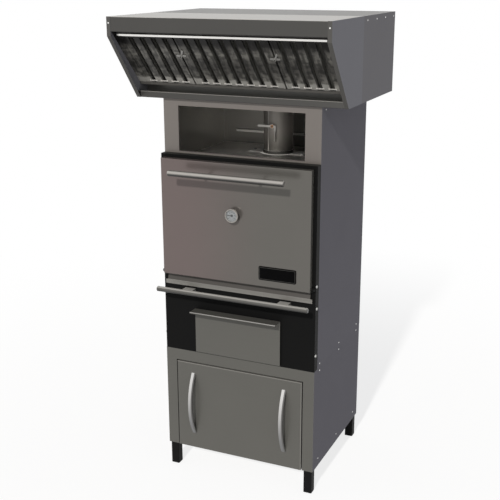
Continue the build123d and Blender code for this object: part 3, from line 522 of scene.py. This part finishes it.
# %% The filter finish
filter_rim = (1.8655, 1.8670)
lit_foot_heights = (1.903, 1.913)
foot_waves = 0.03
streak_stretch = (70.0, 16.0, 16.0)
bar_stretch = (26.0, 60.0, 60.0)
streak_share = 0.55
smear_edge = (0.43, 0.58)
band_rises = (1.90, 1.95)
band_fades = (1.965, 2.01)
top_darkens = (2.0, 2.06)
band_darkness = 0.6
top_shadow = 0.95
filter_outwards = (0.0, -0.725, -0.688)
inner_row = (-1.166, -1.160)


def blotches_and_painted_light(finish, grain):
    """The filter's colour: painted light on the foot, a dark band, a painted shadow at the top, and
    painted light on the inner row.
    """
    spot = spot_on(finish)
    height = finish.node("ShaderNodeSeparateXYZ", {}, {"Vector": spot}, "Z")
    streaks = noise(finish, streak_stretch, 4.0)
    bars = noise(finish, bar_stretch, 3.0)
    smear = ramp(finish, streak_share * streaks + (1 - streak_share) * bars, *smear_edge)
    cloudy = blend(finish, smear, linear(66, 65, 62), linear(112, 110, 105))
    # A darker band crosses the middle, and the top gets a painted shadow of the hood's edge.
    band = ramp(finish, height, *band_rises) - ramp(finish, height, *band_fades)
    band_and_shadow = band_darkness * band + top_shadow * ramp(finish, height, *top_darkens)
    darkened = blend(finish, band_and_shadow, cloudy, linear(26, 25, 25))
    rim = 1 - ramp(finish, height, *filter_rim)
    lit_foot_colour = blend(finish, rim, linear(150, 148, 143), linear(108, 106, 102))
    # Below the foot's height the filter is painted bright: painted light.
    foot = 1 - ramp(finish, height + foot_waves * bars, *lit_foot_heights)
    with_lit_foot = blend(finish, foot, darkened, lit_foot_colour)
    dot = {"operation": "DOT_PRODUCT"}
    depth = finish.node("ShaderNodeVectorMath", dot, {0: spot, 1: filter_outwards}, "Value")
    # The inner row is painted a flat grey that lifts its shade: painted light.
    inside = 1 - ramp(finish, depth, *inner_row)
    sheets = blend(finish, inside, with_lit_foot, linear(96, 95, 91))
    # Whatever looks up is painted dark: painted shade.
    return blend(finish, facing(finish, "Z") > 0.5, sheets, linear(48, 47, 45))


filter_steel = brushed("filter_steel", blotches_and_painted_light, "Z", 0.3, 0.2, 0.15)
print("filter finish:", filter_steel.name)

# %% [markdown]
# ## Coatings, burnt metal and zinc
# The legs and the hinges are coated matt black. The firebox is bare steel that fire has burnt brown
# and black. One recipe could be made for each of them, but they differ only in two colours and in
# the size of patches and grain. So one function serves them all, down to the wool round the
# firebox, the zinc on the rivets and bolts, and the enamel of the dial and the nameplate.

# %% Coatings and burnt metal
patch_contrast = 1.6
grain_finer = 14
grain_gloss = 0.2
grain_tilt = 0.5


def mottled(name, dark, light, roughness, metallic, size, depth, specular=0.5):
    """A rough surface of two colours in patches, with a grain as deep as given, in metres."""
    finish = Finish(bpy.data.materials.new(name))
    patches = noise(finish, (size,) * 3, 5.0)
    grain = noise(finish, (grain_finer * size,) * 3, 3.0)
    share = patch_contrast * patches - (patch_contrast - 1) / 2
    base = blend(finish, share, linear(*dark), linear(*light))
    gloss = roughness - grain_gloss / 2 + grain_gloss * grain
    normal = bumps(finish, grain, depth, grain_tilt)
    constants = {"Metallic": metallic, "Specular IOR Level": specular}
    return close(finish, constants, {"Base Color": base, "Roughness": gloss, "Normal": normal})


# Two colours, then roughness, share of metal, patches a metre, depth of the grain and shine.
black_coat = mottled("black_coat", (15, 15, 15), (21, 21, 21), 0.5, 0.0, 40.0, 0.0002, 0.05)
burnt_steel = mottled("burnt_steel", (34, 31, 29), (66, 58, 51), 0.62, 0.3, 9.0, 0.0006)
cast_iron = mottled("cast_iron", (30, 30, 31), (52, 49, 47), 0.68, 0.3, 30.0, 0.0008)
wool = mottled("wool", (150, 140, 110), (196, 186, 150), 0.95, 0.0, 60.0, 0.002)
brass = mottled("brass", (196, 140, 76), (222, 166, 96), 0.32, 0.9, 50.0, 0.0001)
zinc = mottled("zinc", (150, 150, 148), (178, 178, 176), 0.3, 0.3, 80.0, 0.0001)
clip_zinc = mottled("clip_zinc", (118, 117, 114), (142, 141, 138), 0.3, 0.3, 80.0, 0.0001)
rivet_zinc = mottled("rivet_zinc", (214, 214, 212), (236, 236, 234), 0.3, 0.1, 80.0, 0.0001)
dial_white = mottled("dial_white", (112, 114, 116), (124, 126, 128), 0.5, 0.0, 90.0, 0.00002, 0.2)
dial_black = mottled("dial_black", (16, 16, 18), (26, 26, 28), 0.5, 0.0, 90.0, 0.00002, 0.1)
plate_black = mottled("plate_black", (5, 5, 5), (8, 8, 9), 0.5, 0.0, 60.0, 0.00003, 0.02)
plate_line = mottled("plate_line", (56, 55, 53), (70, 69, 67), 0.4, 0.2, 60.0, 0.00003, 0.2)
count_finishes()

# %% [markdown]
# ## Glass and gasket
# The gauge's glass is thin and nearly clear. Glass that bends light could be used, but in so thin
# a pane it only adds noise, so alpha lets the dial show and the shader gives the reflection. The
# gasket is woven glass fibre. Threads of real mesh would need very many faces, so two sets of
# slanting waves cross like a braid.

# %% Clear glass
glass = Finish(bpy.data.materials.new("gauge_glass"))
smear = noise(glass, (60.0, 60.0, 60.0))
gauge_glass = close(
    glass,
    {"Base Color": linear(235, 240, 240), "Metallic": 0.0, "IOR": 1.5},
    {"Roughness": 0.03 + 0.06 * smear, "Alpha": 0.02 + 0.03 * smear},
)
print("glass:", gauge_glass.name)

# %% Woven fibre
weave_size = 2200.0
weave_depth = 0.0006


def slanting(finish, direction):
    """Waves that slant across the front of the oven."""
    spot = place(finish, (direction * weave_size, weave_size, weave_size))
    settings = {"operation": "DOT_PRODUCT"}
    row = finish.node("ShaderNodeVectorMath", settings, {0: spot, 1: (1.0, 0.0, 1.0)}, "Value")
    return finish.node("ShaderNodeMath", {"operation": "SINE"}, {0: row})


fibre = Finish(bpy.data.materials.new("seal_fibre"))
weave = 0.5 + 0.25 * slanting(fibre, 1.0) + 0.25 * slanting(fibre, -1.0)
seal_fibre = close(
    fibre,
    {"Metallic": 0.0},
    {
        "Base Color": blend(fibre, weave, linear(74, 70, 64), linear(132, 126, 116)),
        "Roughness": 0.85 + 0.1 * weave,
        "Normal": bumps(fibre, weave, weave_depth, 0.6),
    },
)
print("fibre:", seal_fibre.name)

# %% [markdown]
# ## Which finish goes where
# The record says which material slot each solid has. A finish for each slot covers the whole oven,
# so no solid can be forgotten. Many solids then get their own, because two panels of one steel
# show different greys when one is polished more or faces another way.

# %% Finishes on the CAD solids
slot_finish = {
    "front_steel": stand_steel,
    "casing_steel": casing_steel,
    "hood_steel": plenum_steel,
    "filter_steel": filter_steel,
    "bright_steel": bright_steel,
    "black_frame": black_coat,
    "inner_sheet": inner_sheet,
    "firebox_steel": burnt_steel,
    "grid_steel": cast_iron,
    "flue_steel": flue_steel,
    "wool": wool,
    "seal_rope": seal_fibre,
    "brass": brass,
    "fasteners": zinc,
    "gauge_steel": bright_steel,
    "dial_white": dial_white,
    "gauge_glass": gauge_glass,
    "needle_black": dial_black,
}
own_finish = {
    "door_skin": door_steel,
    "niche_front_frame": niche_frame_steel,
    "stand_cladding": stand_side_steel,
    "niche_floor": niche_floor_steel,
    "flue_collar": collar_steel,
    "door_handle": handle_steel,
    "hinge_pins": black_coat,
    "hinge_ears": black_coat,
    "oven_front_frame": frame_coat,
    "thermometer_case": gauge_case_steel,
    "coal_drawer_front": coal_front_steel,
    "ash_drawer_front": ash_front_steel,
    "canopy_fascia": fascia_steel,
    "canopy_side_left": hood_side_steel,
    "canopy_side_right": hood_side_steel,
    "canopy_top": hood_top_steel,
    "plenum_top": plenum_top_steel,
    "grease_gutter": gutter_steel,
    "filter_top_rail": top_rail_steel,
    "filter_clip_left": clip_zinc,
    "filter_clip_right": clip_zinc,
    "damper_lever": damper_steel,
    "niche_back_bracket": polished_steel,
    "sill_ledge": sill_steel,
    "front_rail": rail_steel,
    "coal_drawer_handles": bow_steel,
}
for subpart in frame["record"]["subparts"]:
    name = subpart["node"]
    finish = own_finish.get(name, slot_finish[subpart["material_slot"]])
    nodes[name].data.materials.clear()
    nodes[name].data.materials.append(finish)
print("solids with a finish:", sum(bool(node.data.materials) for node in nodes.values()))

# %% [markdown]
# ## New pieces
# A new piece is a mesh in the oven's own coordinates. It could be a Blender primitive with
# modifiers, but most pieces here are one outline carried along a line, round an axis or round a
# frame, so one function joins rings of points. Each piece rides on the body that carries it, and
# is given its finish directly.

# %% From faces to a piece
def piece(name, shape, finish, body, smooth=True):
    """Turns a bmesh into an object that rides on a body."""
    bmesh.ops.recalc_face_normals(shape, faces=shape.faces)
    mesh = bpy.data.meshes.new(name)
    shape.to_mesh(mesh)
    shape.free()
    mesh.materials.append(finish)
    mesh.polygons.foreach_set("use_smooth", [smooth] * len(mesh.polygons))
    made = bpy.data.objects.new(name, mesh)
    bpy.context.scene.collection.objects.link(made)
    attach(made, body)
    print(name, "has", len(mesh.polygons), "faces")
    return made


def ring_strip(shape, rings, close_ends=True):
    """Joins rings of points with faces. Each ring has the same number of points."""
    rows = [[shape.verts.new(point) for point in ring] for ring in rings]
    for near, far in zip(rows, rows[1:]):
        for index in range(len(near)):
            after = (index + 1) % len(near)
            shape.faces.new((near[index], near[after], far[after], far[index]))
    if close_ends:
        shape.faces.new(rows[0])
        shape.faces.new(rows[-1])


# %% [markdown]
# ## Rivets and bolts
# A CAD rivet is a small eight-sided block that says where a rivet sits. The real one is a blind
# rivet: a flat dome with the end of its mandrel in a small hole. Rounding the block would keep its
# eight sides. So each block is found, and a head turned from a profile takes its place. The bolts
# get a washer and a chamfered hexagon.

# %% Where the fasteners sit
def loose_blocks(node):
    """The separate blocks of a CAD solid, each as a list of points."""
    shape = bmesh.new()
    shape.from_mesh(nodes[node].data)
    bmesh.ops.remove_doubles(shape, verts=shape.verts, dist=1e-6)
    shape.verts.ensure_lookup_table()
    seen = set()
    blocks = []
    for start in range(len(shape.verts)):
        if start in seen:
            continue
        seen.add(start)
        waiting = [start]
        block = []
        while waiting:
            vertex = shape.verts[waiting.pop()]
            block.append(vertex.co.copy())
            for edge in vertex.link_edges:
                other = edge.other_vert(vertex).index
                if other not in seen:
                    seen.add(other)
                    waiting.append(other)
        blocks.append(block)
    shape.free()
    return blocks


def seat(block):
    """The middle of a fastener's foot and the direction in which its head points.

    The thinnest side of its block is the head's axis. Heads point outwards on the sides, forwards
    on the front and up on the top.
    """
    low = Vector([min(point[axis] for point in block) for axis in range(3)])
    high = Vector([max(point[axis] for point in block) for axis in range(3)])
    size = high - low
    axis = min(range(3), key=lambda index: size[index])
    side = (1 if low.x > 0 else -1, -1, 1)[axis]
    direction = Vector([side if index == axis else 0 for index in range(3)])
    middle = (low + high) / 2
    return middle - direction * size[axis] / 2, direction


rivet_seats = [seat(block) for block in loose_blocks("rivets")]
bolt_seats = [seat(block) for block in loose_blocks("bolts")]
print("rivets:", len(rivet_seats), "bolts:", len(bolt_seats))

# %% Turned rivet heads
rivet_sides = 20
rivet_dome = ((3.4, 0.0), (3.3, 0.35), (2.8, 0.95), (2.0, 1.35), (1.3, 1.48))
rivet_hole = ((1.1, 1.1), (0.8, 0.9))


def turned(shape, seat_point, direction, profile, sides):
    """A turned head: a profile in millimetres, as radius and height, swept round an axis."""
    turn_to = direction.to_track_quat("Z", "Y").to_matrix()
    rings = []
    for radius, height in profile:
        angles = [2 * pi * index / sides for index in range(sides)]
        flat = [Vector((radius * cos(a), radius * sin(a), height)) / 1000 for a in angles]
        rings.append([seat_point + turn_to @ point for point in flat])
    ring_strip(shape, rings)


heads = bmesh.new()
for point, direction in rivet_seats:
    turned(heads, point, direction, rivet_dome + rivet_hole, rivet_sides)
rivet_heads = piece("rivet_heads", heads, rivet_zinc, "housing")
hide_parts("rivets")

# %% Hexagon bolts on washers
washer_sides = 24
hexagon_sides = 6
washer_profile = ((6.6, 0.0), (6.6, 0.7), (6.2, 0.9), (5.6, 0.9))
hexagon_profile = ((6.9, 0.8), (6.9, 3.5), (6.1, 4.0), (3.0, 4.0))
bolts = bmesh.new()
for point, direction in bolt_seats:
    turned(bolts, point, direction, washer_profile, washer_sides)
    turned(bolts, point, direction, hexagon_profile, hexagon_sides)
bolt_heads = piece("bolt_heads", bolts, zinc, "housing", smooth=False)
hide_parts("bolts")

# %% [markdown]
# ## The trim above the filters
# A strip of polished steel is clipped on the rail above the filters and mirrors the white room
# below the hood's edge. A curve with a bevel could draw it, but its section is not round. So its
# outline is carried along a straight line, which also serves for the pieces that follow.

# %% A section along a line
def swept(name, section, spans, finish, body="housing"):
    """Sweeps a section along straight spans. The section's points are offsets from each end."""
    shape = bmesh.new()
    for ends in spans:
        ring_strip(shape, [[end + point for point in section] for end in ends])
    return piece(name, shape, finish, body, smooth=False)


def side_section(outline):
    """A section in the upright plane from front to back, from pairs of depth and height."""
    return [Vector((0.0, y, z)) for y, z in outline]


def crosswise(low, high):
    """A span from the left end of a box to its right end."""
    return (Vector((low.x, 0.0, 0.0)), Vector((high.x, 0.0, 0.0)))


# %% The trim
trim_front = -0.4040
trim_back = -0.3950
trim_foot = 2.0802
trim_head = 2.0895
trim_edge = 0.0012
trim_outline = (
    (trim_back, trim_foot),
    (trim_front + trim_edge, trim_foot),
    (trim_front, trim_foot + trim_edge),
    (trim_front, trim_head - trim_edge),
    (trim_front + trim_edge, trim_head),
    (trim_back, trim_head),
)
trim_span = crosswise(*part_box("filter_top_rail"))
trim_section = side_section(trim_outline)
swept("filter_rail_trim", trim_section, [trim_span], polished_steel)

# %% [markdown]
# ## The seam of the flue pipe
# The pipe is rolled from sheet, so a flat lock seam runs up its front, a little left of the damper.
# A bump in the pipe's finish could hint at it, but only a real ridge shows at the pipe's edge when
# the oven is seen from the side. It runs from the collar to the floor of the hood.

# %% The lock seam
pipe_low, pipe_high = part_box("flue_pipe")
collar_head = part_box("flue_collar")[1].z
hood_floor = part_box("plenum_floor")[0].z
pipe_middle = (pipe_low + pipe_high) / 2
pipe_radius = (pipe_high.x - pipe_low.x) / 2
seam_turn = radians(-110.6)
seam_half = 0.0035
seam_rise = 0.0014
seam_out = Vector((cos(seam_turn), sin(seam_turn), 0.0))
seam_side = Vector((-sin(seam_turn), cos(seam_turn), 0.0))
seam_outline = ((-1.0, -0.5), (-1.0, 0.6), (-0.7, 1.0), (0.7, 1.0), (1.0, 0.6), (1.0, -0.5))
seam_section = [
    seam_side * side * seam_half + seam_out * (pipe_radius + rise * seam_rise)
    for side, rise in seam_outline
]
seam_span = [Vector((pipe_middle.x, pipe_middle.y, z)) for z in (collar_head, hood_floor)]
swept("flue_seam", seam_section, [seam_span], damper_steel)

# %% [markdown]
# ## The lid of the plenum
# The plenum's top sheet lies in the same plane as the back wall where the two lap, and two sheets
# in one plane draw each other black. Moving one by a hair would cure it, but the CAD mesh is never
# changed. So a lid takes the sheet's place, with its rims folded down just inside the walls.

# %% A folded lid
lid_low, lid_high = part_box("plenum_top")
lid_sheet = 0.0015
lid_gap = 0.0003
lid_fold = 0.0020
lid_front = lid_low.y
lid_back = lid_high.y - lid_sheet - lid_gap
lid_shoulder = lid_high.z - lid_fold
lid_outline = (
    (lid_front, lid_low.z),
    (lid_front, lid_shoulder),
    (lid_front + lid_fold, lid_high.z),
    (lid_back - lid_fold, lid_high.z),
    (lid_back, lid_shoulder),
    (lid_back, lid_low.z),
    (lid_back - lid_sheet, lid_low.z),
    (lid_back - lid_sheet, lid_shoulder),
    (lid_back - lid_fold, lid_high.z - lid_sheet),
    (lid_front + lid_fold, lid_high.z - lid_sheet),
    (lid_front + lid_sheet, lid_shoulder),
    (lid_front + lid_sheet, lid_low.z),
)
lid_section = side_section(lid_outline)
lid_span = crosswise(lid_low, lid_high)
lid = swept("plenum_lid", lid_section, [lid_span], plenum_top_steel)
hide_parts("plenum_top")

# %% [markdown]
# ## Drip tabs
# Fat runs down the baffles to the foot of each filter. Below every slot a small tab is folded over
# the foot, and it leads the drops into the gutter. Its near-white paint is a painted highlight for
# the light that the tab catches. An array modifier could repeat one tab, but the three filters are
# not equally wide, so a loop sets as many as each can hold. The tabs sit on the filter's plane, and
# two directions describe them: up the slope and out of it.

# %% A tab below every slot
slope_foot = Vector((0.0, -0.17025, 1.855))
slope_up = Vector((0.0, -0.688355, 0.725374))
slope_out = Vector((0.0, -0.725374, -0.688355))
slot_pitch = 0.054
slot_width = 0.023
slot_margin = 0.020
tab_half = 0.018
tab_foot = 0.0225
tab_head = 0.0290
tab_rise = 0.0012
tab_edge = 0.001
tab_outline = (
    (tab_foot, -tab_rise),
    (tab_foot, tab_rise / 2),
    (tab_foot + tab_edge, tab_rise),
    (tab_head, tab_rise),
    (tab_head, -tab_rise),
)
tab_section = [slope_foot + slope_up * up + slope_out * out for up, out in tab_outline]
for side in ("left", "middle", "right"):
    filter_low, filter_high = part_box(f"filter_{side}")
    width = filter_high.x - filter_low.x
    count = int((width - 2 * slot_margin - slot_width) // slot_pitch) + 1
    first = (filter_low.x + filter_high.x - (count - 1) * slot_pitch) / 2
    spans = []
    for number in range(count):
        middle = first + number * slot_pitch
        spans.append([Vector((middle + turn * tab_half, 0.0, 0.0)) for turn in (-1, 1)])
    swept(f"drip_tabs_{side}", tab_section, spans, drip_steel, f"{side}_filter")

# %% [markdown]
# ## The door gasket
# A woven tape of glass fibre runs round the back of the door. A bevelled curve would give it one
# even section, but a real tape swells a little with each turn of the braid. So a row of sections,
# each a low crown, follows the tape's path. The path is a rectangle with round corners, read from
# the CAD solid's own box.

# %% A rounded rectangle to follow
def rounded_path(half_width, half_height, radius, step):
    """Points and outward directions round a rectangle, about one step apart."""
    stations = []
    corners = ((1, 1, 0), (-1, 1, pi / 2), (-1, -1, pi), (1, -1, 3 * pi / 2))
    for index, (across, up, start) in enumerate(corners):
        centre = Vector((across * (half_width - radius), up * (half_height - radius)))
        count = max(2, ceil(radius * pi / 2 / step))
        for part in range(count + 1):
            angle = start + pi / 2 * part / count
            outward = Vector((cos(angle), sin(angle)))
            stations.append((centre + outward * radius, outward))
        next_across, next_up, _ = corners[(index + 1) % 4]
        target = Vector((next_across * (half_width - radius), next_up * (half_height - radius)))
        target += outward * radius
        begin = stations[-1][0]
        pieces = max(1, round((target - begin).length / step))
        for part in range(1, pieces):
            stations.append((begin.lerp(target, part / pieces), outward))
    return stations


seal_low, seal_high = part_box("door_seal")
seal_size = seal_high - seal_low
print("the gasket's frame:", [round(side, 3) for side in seal_size])


# %% The gasket
tape_step = 0.002
tape_width = 0.012
tape_radius = 0.012
braid_length = 0.008
braid_swell = 0.07
tape_middle = (seal_low + seal_high) / 2
tape_half = ((seal_size.x - tape_width) / 2, (seal_size.z - tape_width) / 2)
crown_left = ((-0.5, 0.0), (-0.5, 0.45), (-0.36, 0.85), (-0.12, 1.0))
crown = crown_left + tuple((-offset, height) for offset, height in reversed(crown_left))
tape = bmesh.new()
tape_rings = []
for number, (spot, outward) in enumerate(rounded_path(*tape_half, tape_radius, tape_step)):
    swell = 1 - braid_swell + braid_swell * cos(2 * pi * number * tape_step / braid_length)
    ring = []
    for offset, height in crown:
        flat = spot + outward * offset * tape_width * swell
        depth = seal_low.y + seal_size.y * height * swell
        ring.append(Vector((tape_middle.x + flat.x, depth, tape_middle.z + flat.y)))
    tape_rings.append(ring)
tape_rings.append(tape_rings[0])
ring_strip(tape, tape_rings, close_ends=False)
bmesh.ops.remove_doubles(tape, verts=tape.verts, dist=1e-7)
gasket = piece("door_gasket", tape, seal_fibre, "door")
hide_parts("door_seal")

# %% [markdown]
# ## The nameplate
# A small black plate sits low on the right of the door. It stays bare. Its corners are round, and
# a thin light line runs inside its edge. The line could be painted by a mask, but as a raised bead
# it stays sharp from near by. Both follow the same rounded path as the gasket, moved inwards.

# %% The plate and its line
plate_middle = Vector((0.208, -0.25825, 1.066))
plate_half = (0.0885, 0.0315)
plate_corner = 0.007
plate_thickness = 0.003
plate_edge = 0.0006
plate_step = 0.003
line_inset = 0.0042
line_width = 0.0014
line_rise = 0.0003


def plate_ring(inset, y):
    """The outline of the plate, moved inwards, at one depth."""
    half = [value - inset for value in plate_half]
    stations = rounded_path(*half, plate_corner - inset, plate_step)
    return [Vector((plate_middle.x + p.x, y, plate_middle.z + p.y)) for p, _ in stations]


plate_front = plate_middle.y - plate_thickness
levels = (
    (0.0, plate_middle.y),
    (0.0, plate_front + plate_edge),
    (plate_edge, plate_front),
)
plate = bmesh.new()
ring_strip(plate, [plate_ring(inset, y) for inset, y in levels])
piece("nameplate", plate, plate_black, "door", smooth=False)

line_levels = (
    (line_inset, plate_front),
    (line_inset, plate_front - line_rise),
    (line_inset + line_width, plate_front - line_rise),
    (line_inset + line_width, plate_front),
)
line = bmesh.new()
ring_strip(line, [plate_ring(inset, y) for inset, y in line_levels], close_ends=False)
piece("nameplate_line", line, plate_line, "door", smooth=False)

# %% [markdown]
# ## The dial
# The thermometer's dial has a ring of marks and plain numbers. A texture could print them, but
# this lesson uses no pictures. So the marks are thin raised bars, and the numbers are text that is
# turned into a mesh. Both ride on the door and stay with it when it opens.

# %% The marks
dial_low, dial_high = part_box("thermometer_dial")
dial_centre = (dial_low + dial_high) / 2
dial_radius = (dial_high.x - dial_low.x) / 2
dial_thickness = 0.001
dial_face = dial_high.y - dial_thickness
mark_rise = 0.0002
mark_count = 31
mark_outer = 0.93
long_mark = (0.78, radians(1.6))
short_mark = (0.85, radians(0.8))
scale_end = radians(-40)
scale_start = radians(220)


def scale_angle(number, count):
    """The angle of one of a number of even steps on the scale, clockwise from its start."""
    return scale_start + (scale_end - scale_start) * number / (count - 1)


def dial_point(radius, angle, rise=0.0):
    """A point on the dial, by its share of the radius and its angle from the right."""
    across = dial_radius * radius * cos(angle)
    up = dial_radius * radius * sin(angle)
    return Vector((dial_centre.x + across, dial_face - rise, dial_centre.z + up))


marks = bmesh.new()
for number in range(mark_count):
    angle = scale_angle(number, mark_count)
    inner, half_turn = long_mark if number % 5 == 0 else short_mark
    outline = [
        (inner, angle - half_turn),
        (mark_outer, angle - half_turn),
        (mark_outer, angle + half_turn),
        (inner, angle + half_turn),
    ]
    foot = [dial_point(radius, turn_by) for radius, turn_by in outline]
    top = [dial_point(radius, turn_by, mark_rise) for radius, turn_by in outline]
    ring_strip(marks, [foot, top])
piece("dial_marks", marks, dial_black, "door", smooth=False)

# %% The numbers
number_size = 0.0052
number_count = 7
number_ring = 0.6
for step in range(number_count):
    text = bpy.data.curves.new(f"dial_number_{step}", "FONT")
    text.body = str(step * 100)
    text.size = number_size
    text.align_x = "CENTER"
    text.align_y = "CENTER"
    text.extrude = mark_rise / 2
    holder = bpy.data.objects.new(f"dial_text_{step}", text)
    bpy.context.scene.collection.objects.link(holder)
    bpy.context.view_layer.update()
    mesh = bpy.data.meshes.new_from_object(holder)
    bpy.data.objects.remove(holder)
    spot = dial_point(number_ring, scale_angle(step, number_count), mark_rise / 2)
    mesh.transform(Matrix.Translation(spot) @ Matrix.Rotation(pi / 2, 4, "X"))
    digits = bmesh.new()
    digits.from_mesh(mesh)
    piece(f"dial_number_{step}", digits, dial_black, "door", smooth=False)

# %% [markdown]
# ## The pointer
# The thermometer's pointer is a thin blade with a round hub. It could be two pieces, but they would
# lie in one plane. So it is cut as one outline: the tip, then round the hub and back. It turns with
# the needle's body and takes its place.

# %% A blade and its hub
needle_low, needle_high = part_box("thermometer_needle")
dial_low, dial_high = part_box("thermometer_dial")
dial_middle = (dial_low + dial_high) / 2
blade_length = -needle_low.x
blade_tip = 0.0010
blade_gap = 0.38
hub_radius = 0.0054
hub_steps = 20
outline = [(-blade_length, blade_tip), (-blade_length, -blade_tip)]
for step in range(hub_steps + 1):
    angle = pi + blade_gap + (2 * pi - 2 * blade_gap) * step / hub_steps
    outline.append((hub_radius * cos(angle), hub_radius * sin(angle)))
blade_rings = [
    [Vector((dial_middle.x + across, y, dial_middle.z + up)) for across, up in outline]
    for y in (needle_low.y, needle_high.y)
]
pointer = bmesh.new()
ring_strip(pointer, blade_rings)
blade = piece("gauge_pointer", pointer, dial_black, "gauge_needle", smooth=False)
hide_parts("thermometer_needle")
print("blade length:", round(blade_length, 4))

# %% [markdown]
# ## The floor
# The oven stands on a plain white floor. More light could make it white, but it would bleach the
# steel as well. So the camera, mirrors and glass see it glow at a strength of 1, and the oven is
# lit by it as by white paper. It keeps some of its own shading, so that the oven's shadow shows,
# and that shading fades out away from the oven.

# %% The floor
floor_half = 9.0
floor_mesh = bmesh.new()
bmesh.ops.create_grid(floor_mesh, x_segments=4, y_segments=4, size=floor_half)
ground = bpy.data.meshes.new("floor")
floor_mesh.to_mesh(ground)
floor_mesh.free()
floor = bpy.data.objects.new("floor", ground)
bpy.context.scene.collection.objects.link(floor)

paper = Finish(bpy.data.materials.new("floor_paper"))
distance_settings = {"operation": "LENGTH"}
distance = paper.node("ShaderNodeVectorMath", distance_settings, {0: spot_on(paper)}, "Value")
most_shading = 0.25
shading_fades = (1.0, 4.0)
shading = most_shading - most_shading * ramp(paper, distance, *shading_fades)


def mirrored_or_seen(finish):
    """1 for what the camera sees straight on, in a mirror or through glass, and 0 for light."""
    rays = ("Is Camera Ray", "Is Glossy Ray", "Is Transmission Ray")
    first, second, third = [finish.node("ShaderNodeLightPath", {}, {}, ray) for ray in rays]
    return first + second + third


white = (1.0, 1.0, 1.0, 1.0)
glow = paper.node("ShaderNodeEmission", {}, {"Color": white, "Strength": 1.0})
matt = paper.node("ShaderNodeBsdfDiffuse", {}, {"Color": linear(254, 254, 254)})
share = mirrored_or_seen(paper) * (1 - shading)
both = paper.node("ShaderNodeMixShader", {}, {0: share, 1: matt, 2: glow})
paper.node("ShaderNodeOutputMaterial", {}, {"Surface": both})
ground.materials.append(paper.owner)
print("the floor is", 2 * floor_half, "metres wide")

# %% [markdown]
# ## The sky
# The sky has two strengths as well. The camera and mirrors see plain white, and a weaker light
# with a little blue in it falls on the oven. A picture of a room could give a livelier light, but
# then the steel would mirror that room.

# %% A white sky
sky_strength = 0.38
sky_colour = (0.97, 0.98, 1.0, 1.0)
sky = Finish(bpy.data.worlds.new("white_sky"))
lighting = {"Color": sky_colour, "Strength": sky_strength}
sky_light = sky.node("ShaderNodeBackground", {}, lighting)
sky_white = sky.node("ShaderNodeBackground", {}, {"Color": white, "Strength": 1.0})
sky_share = mirrored_or_seen(sky)
sky_both = sky.node("ShaderNodeMixShader", {}, {0: sky_share, 1: sky_light, 2: sky_white})
sky.node("ShaderNodeOutputWorld", {}, {"Surface": sky_both})
bpy.context.scene.world = sky.owner
print("the sky is white, and lights the oven at a strength of", sky_strength)

# %% [markdown]
# ## The lamp
# One lamp, as far off as the sun, shines from in front and above. A panel of light near by could
# do it too, but it would light the hood more than the legs. A spread of a few degrees softens the
# shadow's edge.

# %% A lamp like the sun
sun_strength = 3.2
sun_spread = radians(3)
sun_colour = (1.0, 0.98, 0.95)
sun_direction = Vector((-0.08, 1.0, -0.66))
sun_data = bpy.data.lights.new("key", "SUN")
sun_data.energy = sun_strength
sun_data.angle = sun_spread
sun_data.color = sun_colour
sun = bpy.data.objects.new("key", sun_data)
sun.matrix_world = sun_direction.to_track_quat("-Z", "Y").to_matrix().to_4x4()
bpy.context.scene.collection.objects.link(sun)
bpy.context.scene.view_settings.view_transform = "Standard"
print("the lamp shines along", [round(part, 2) for part in sun_direction.normalized()])
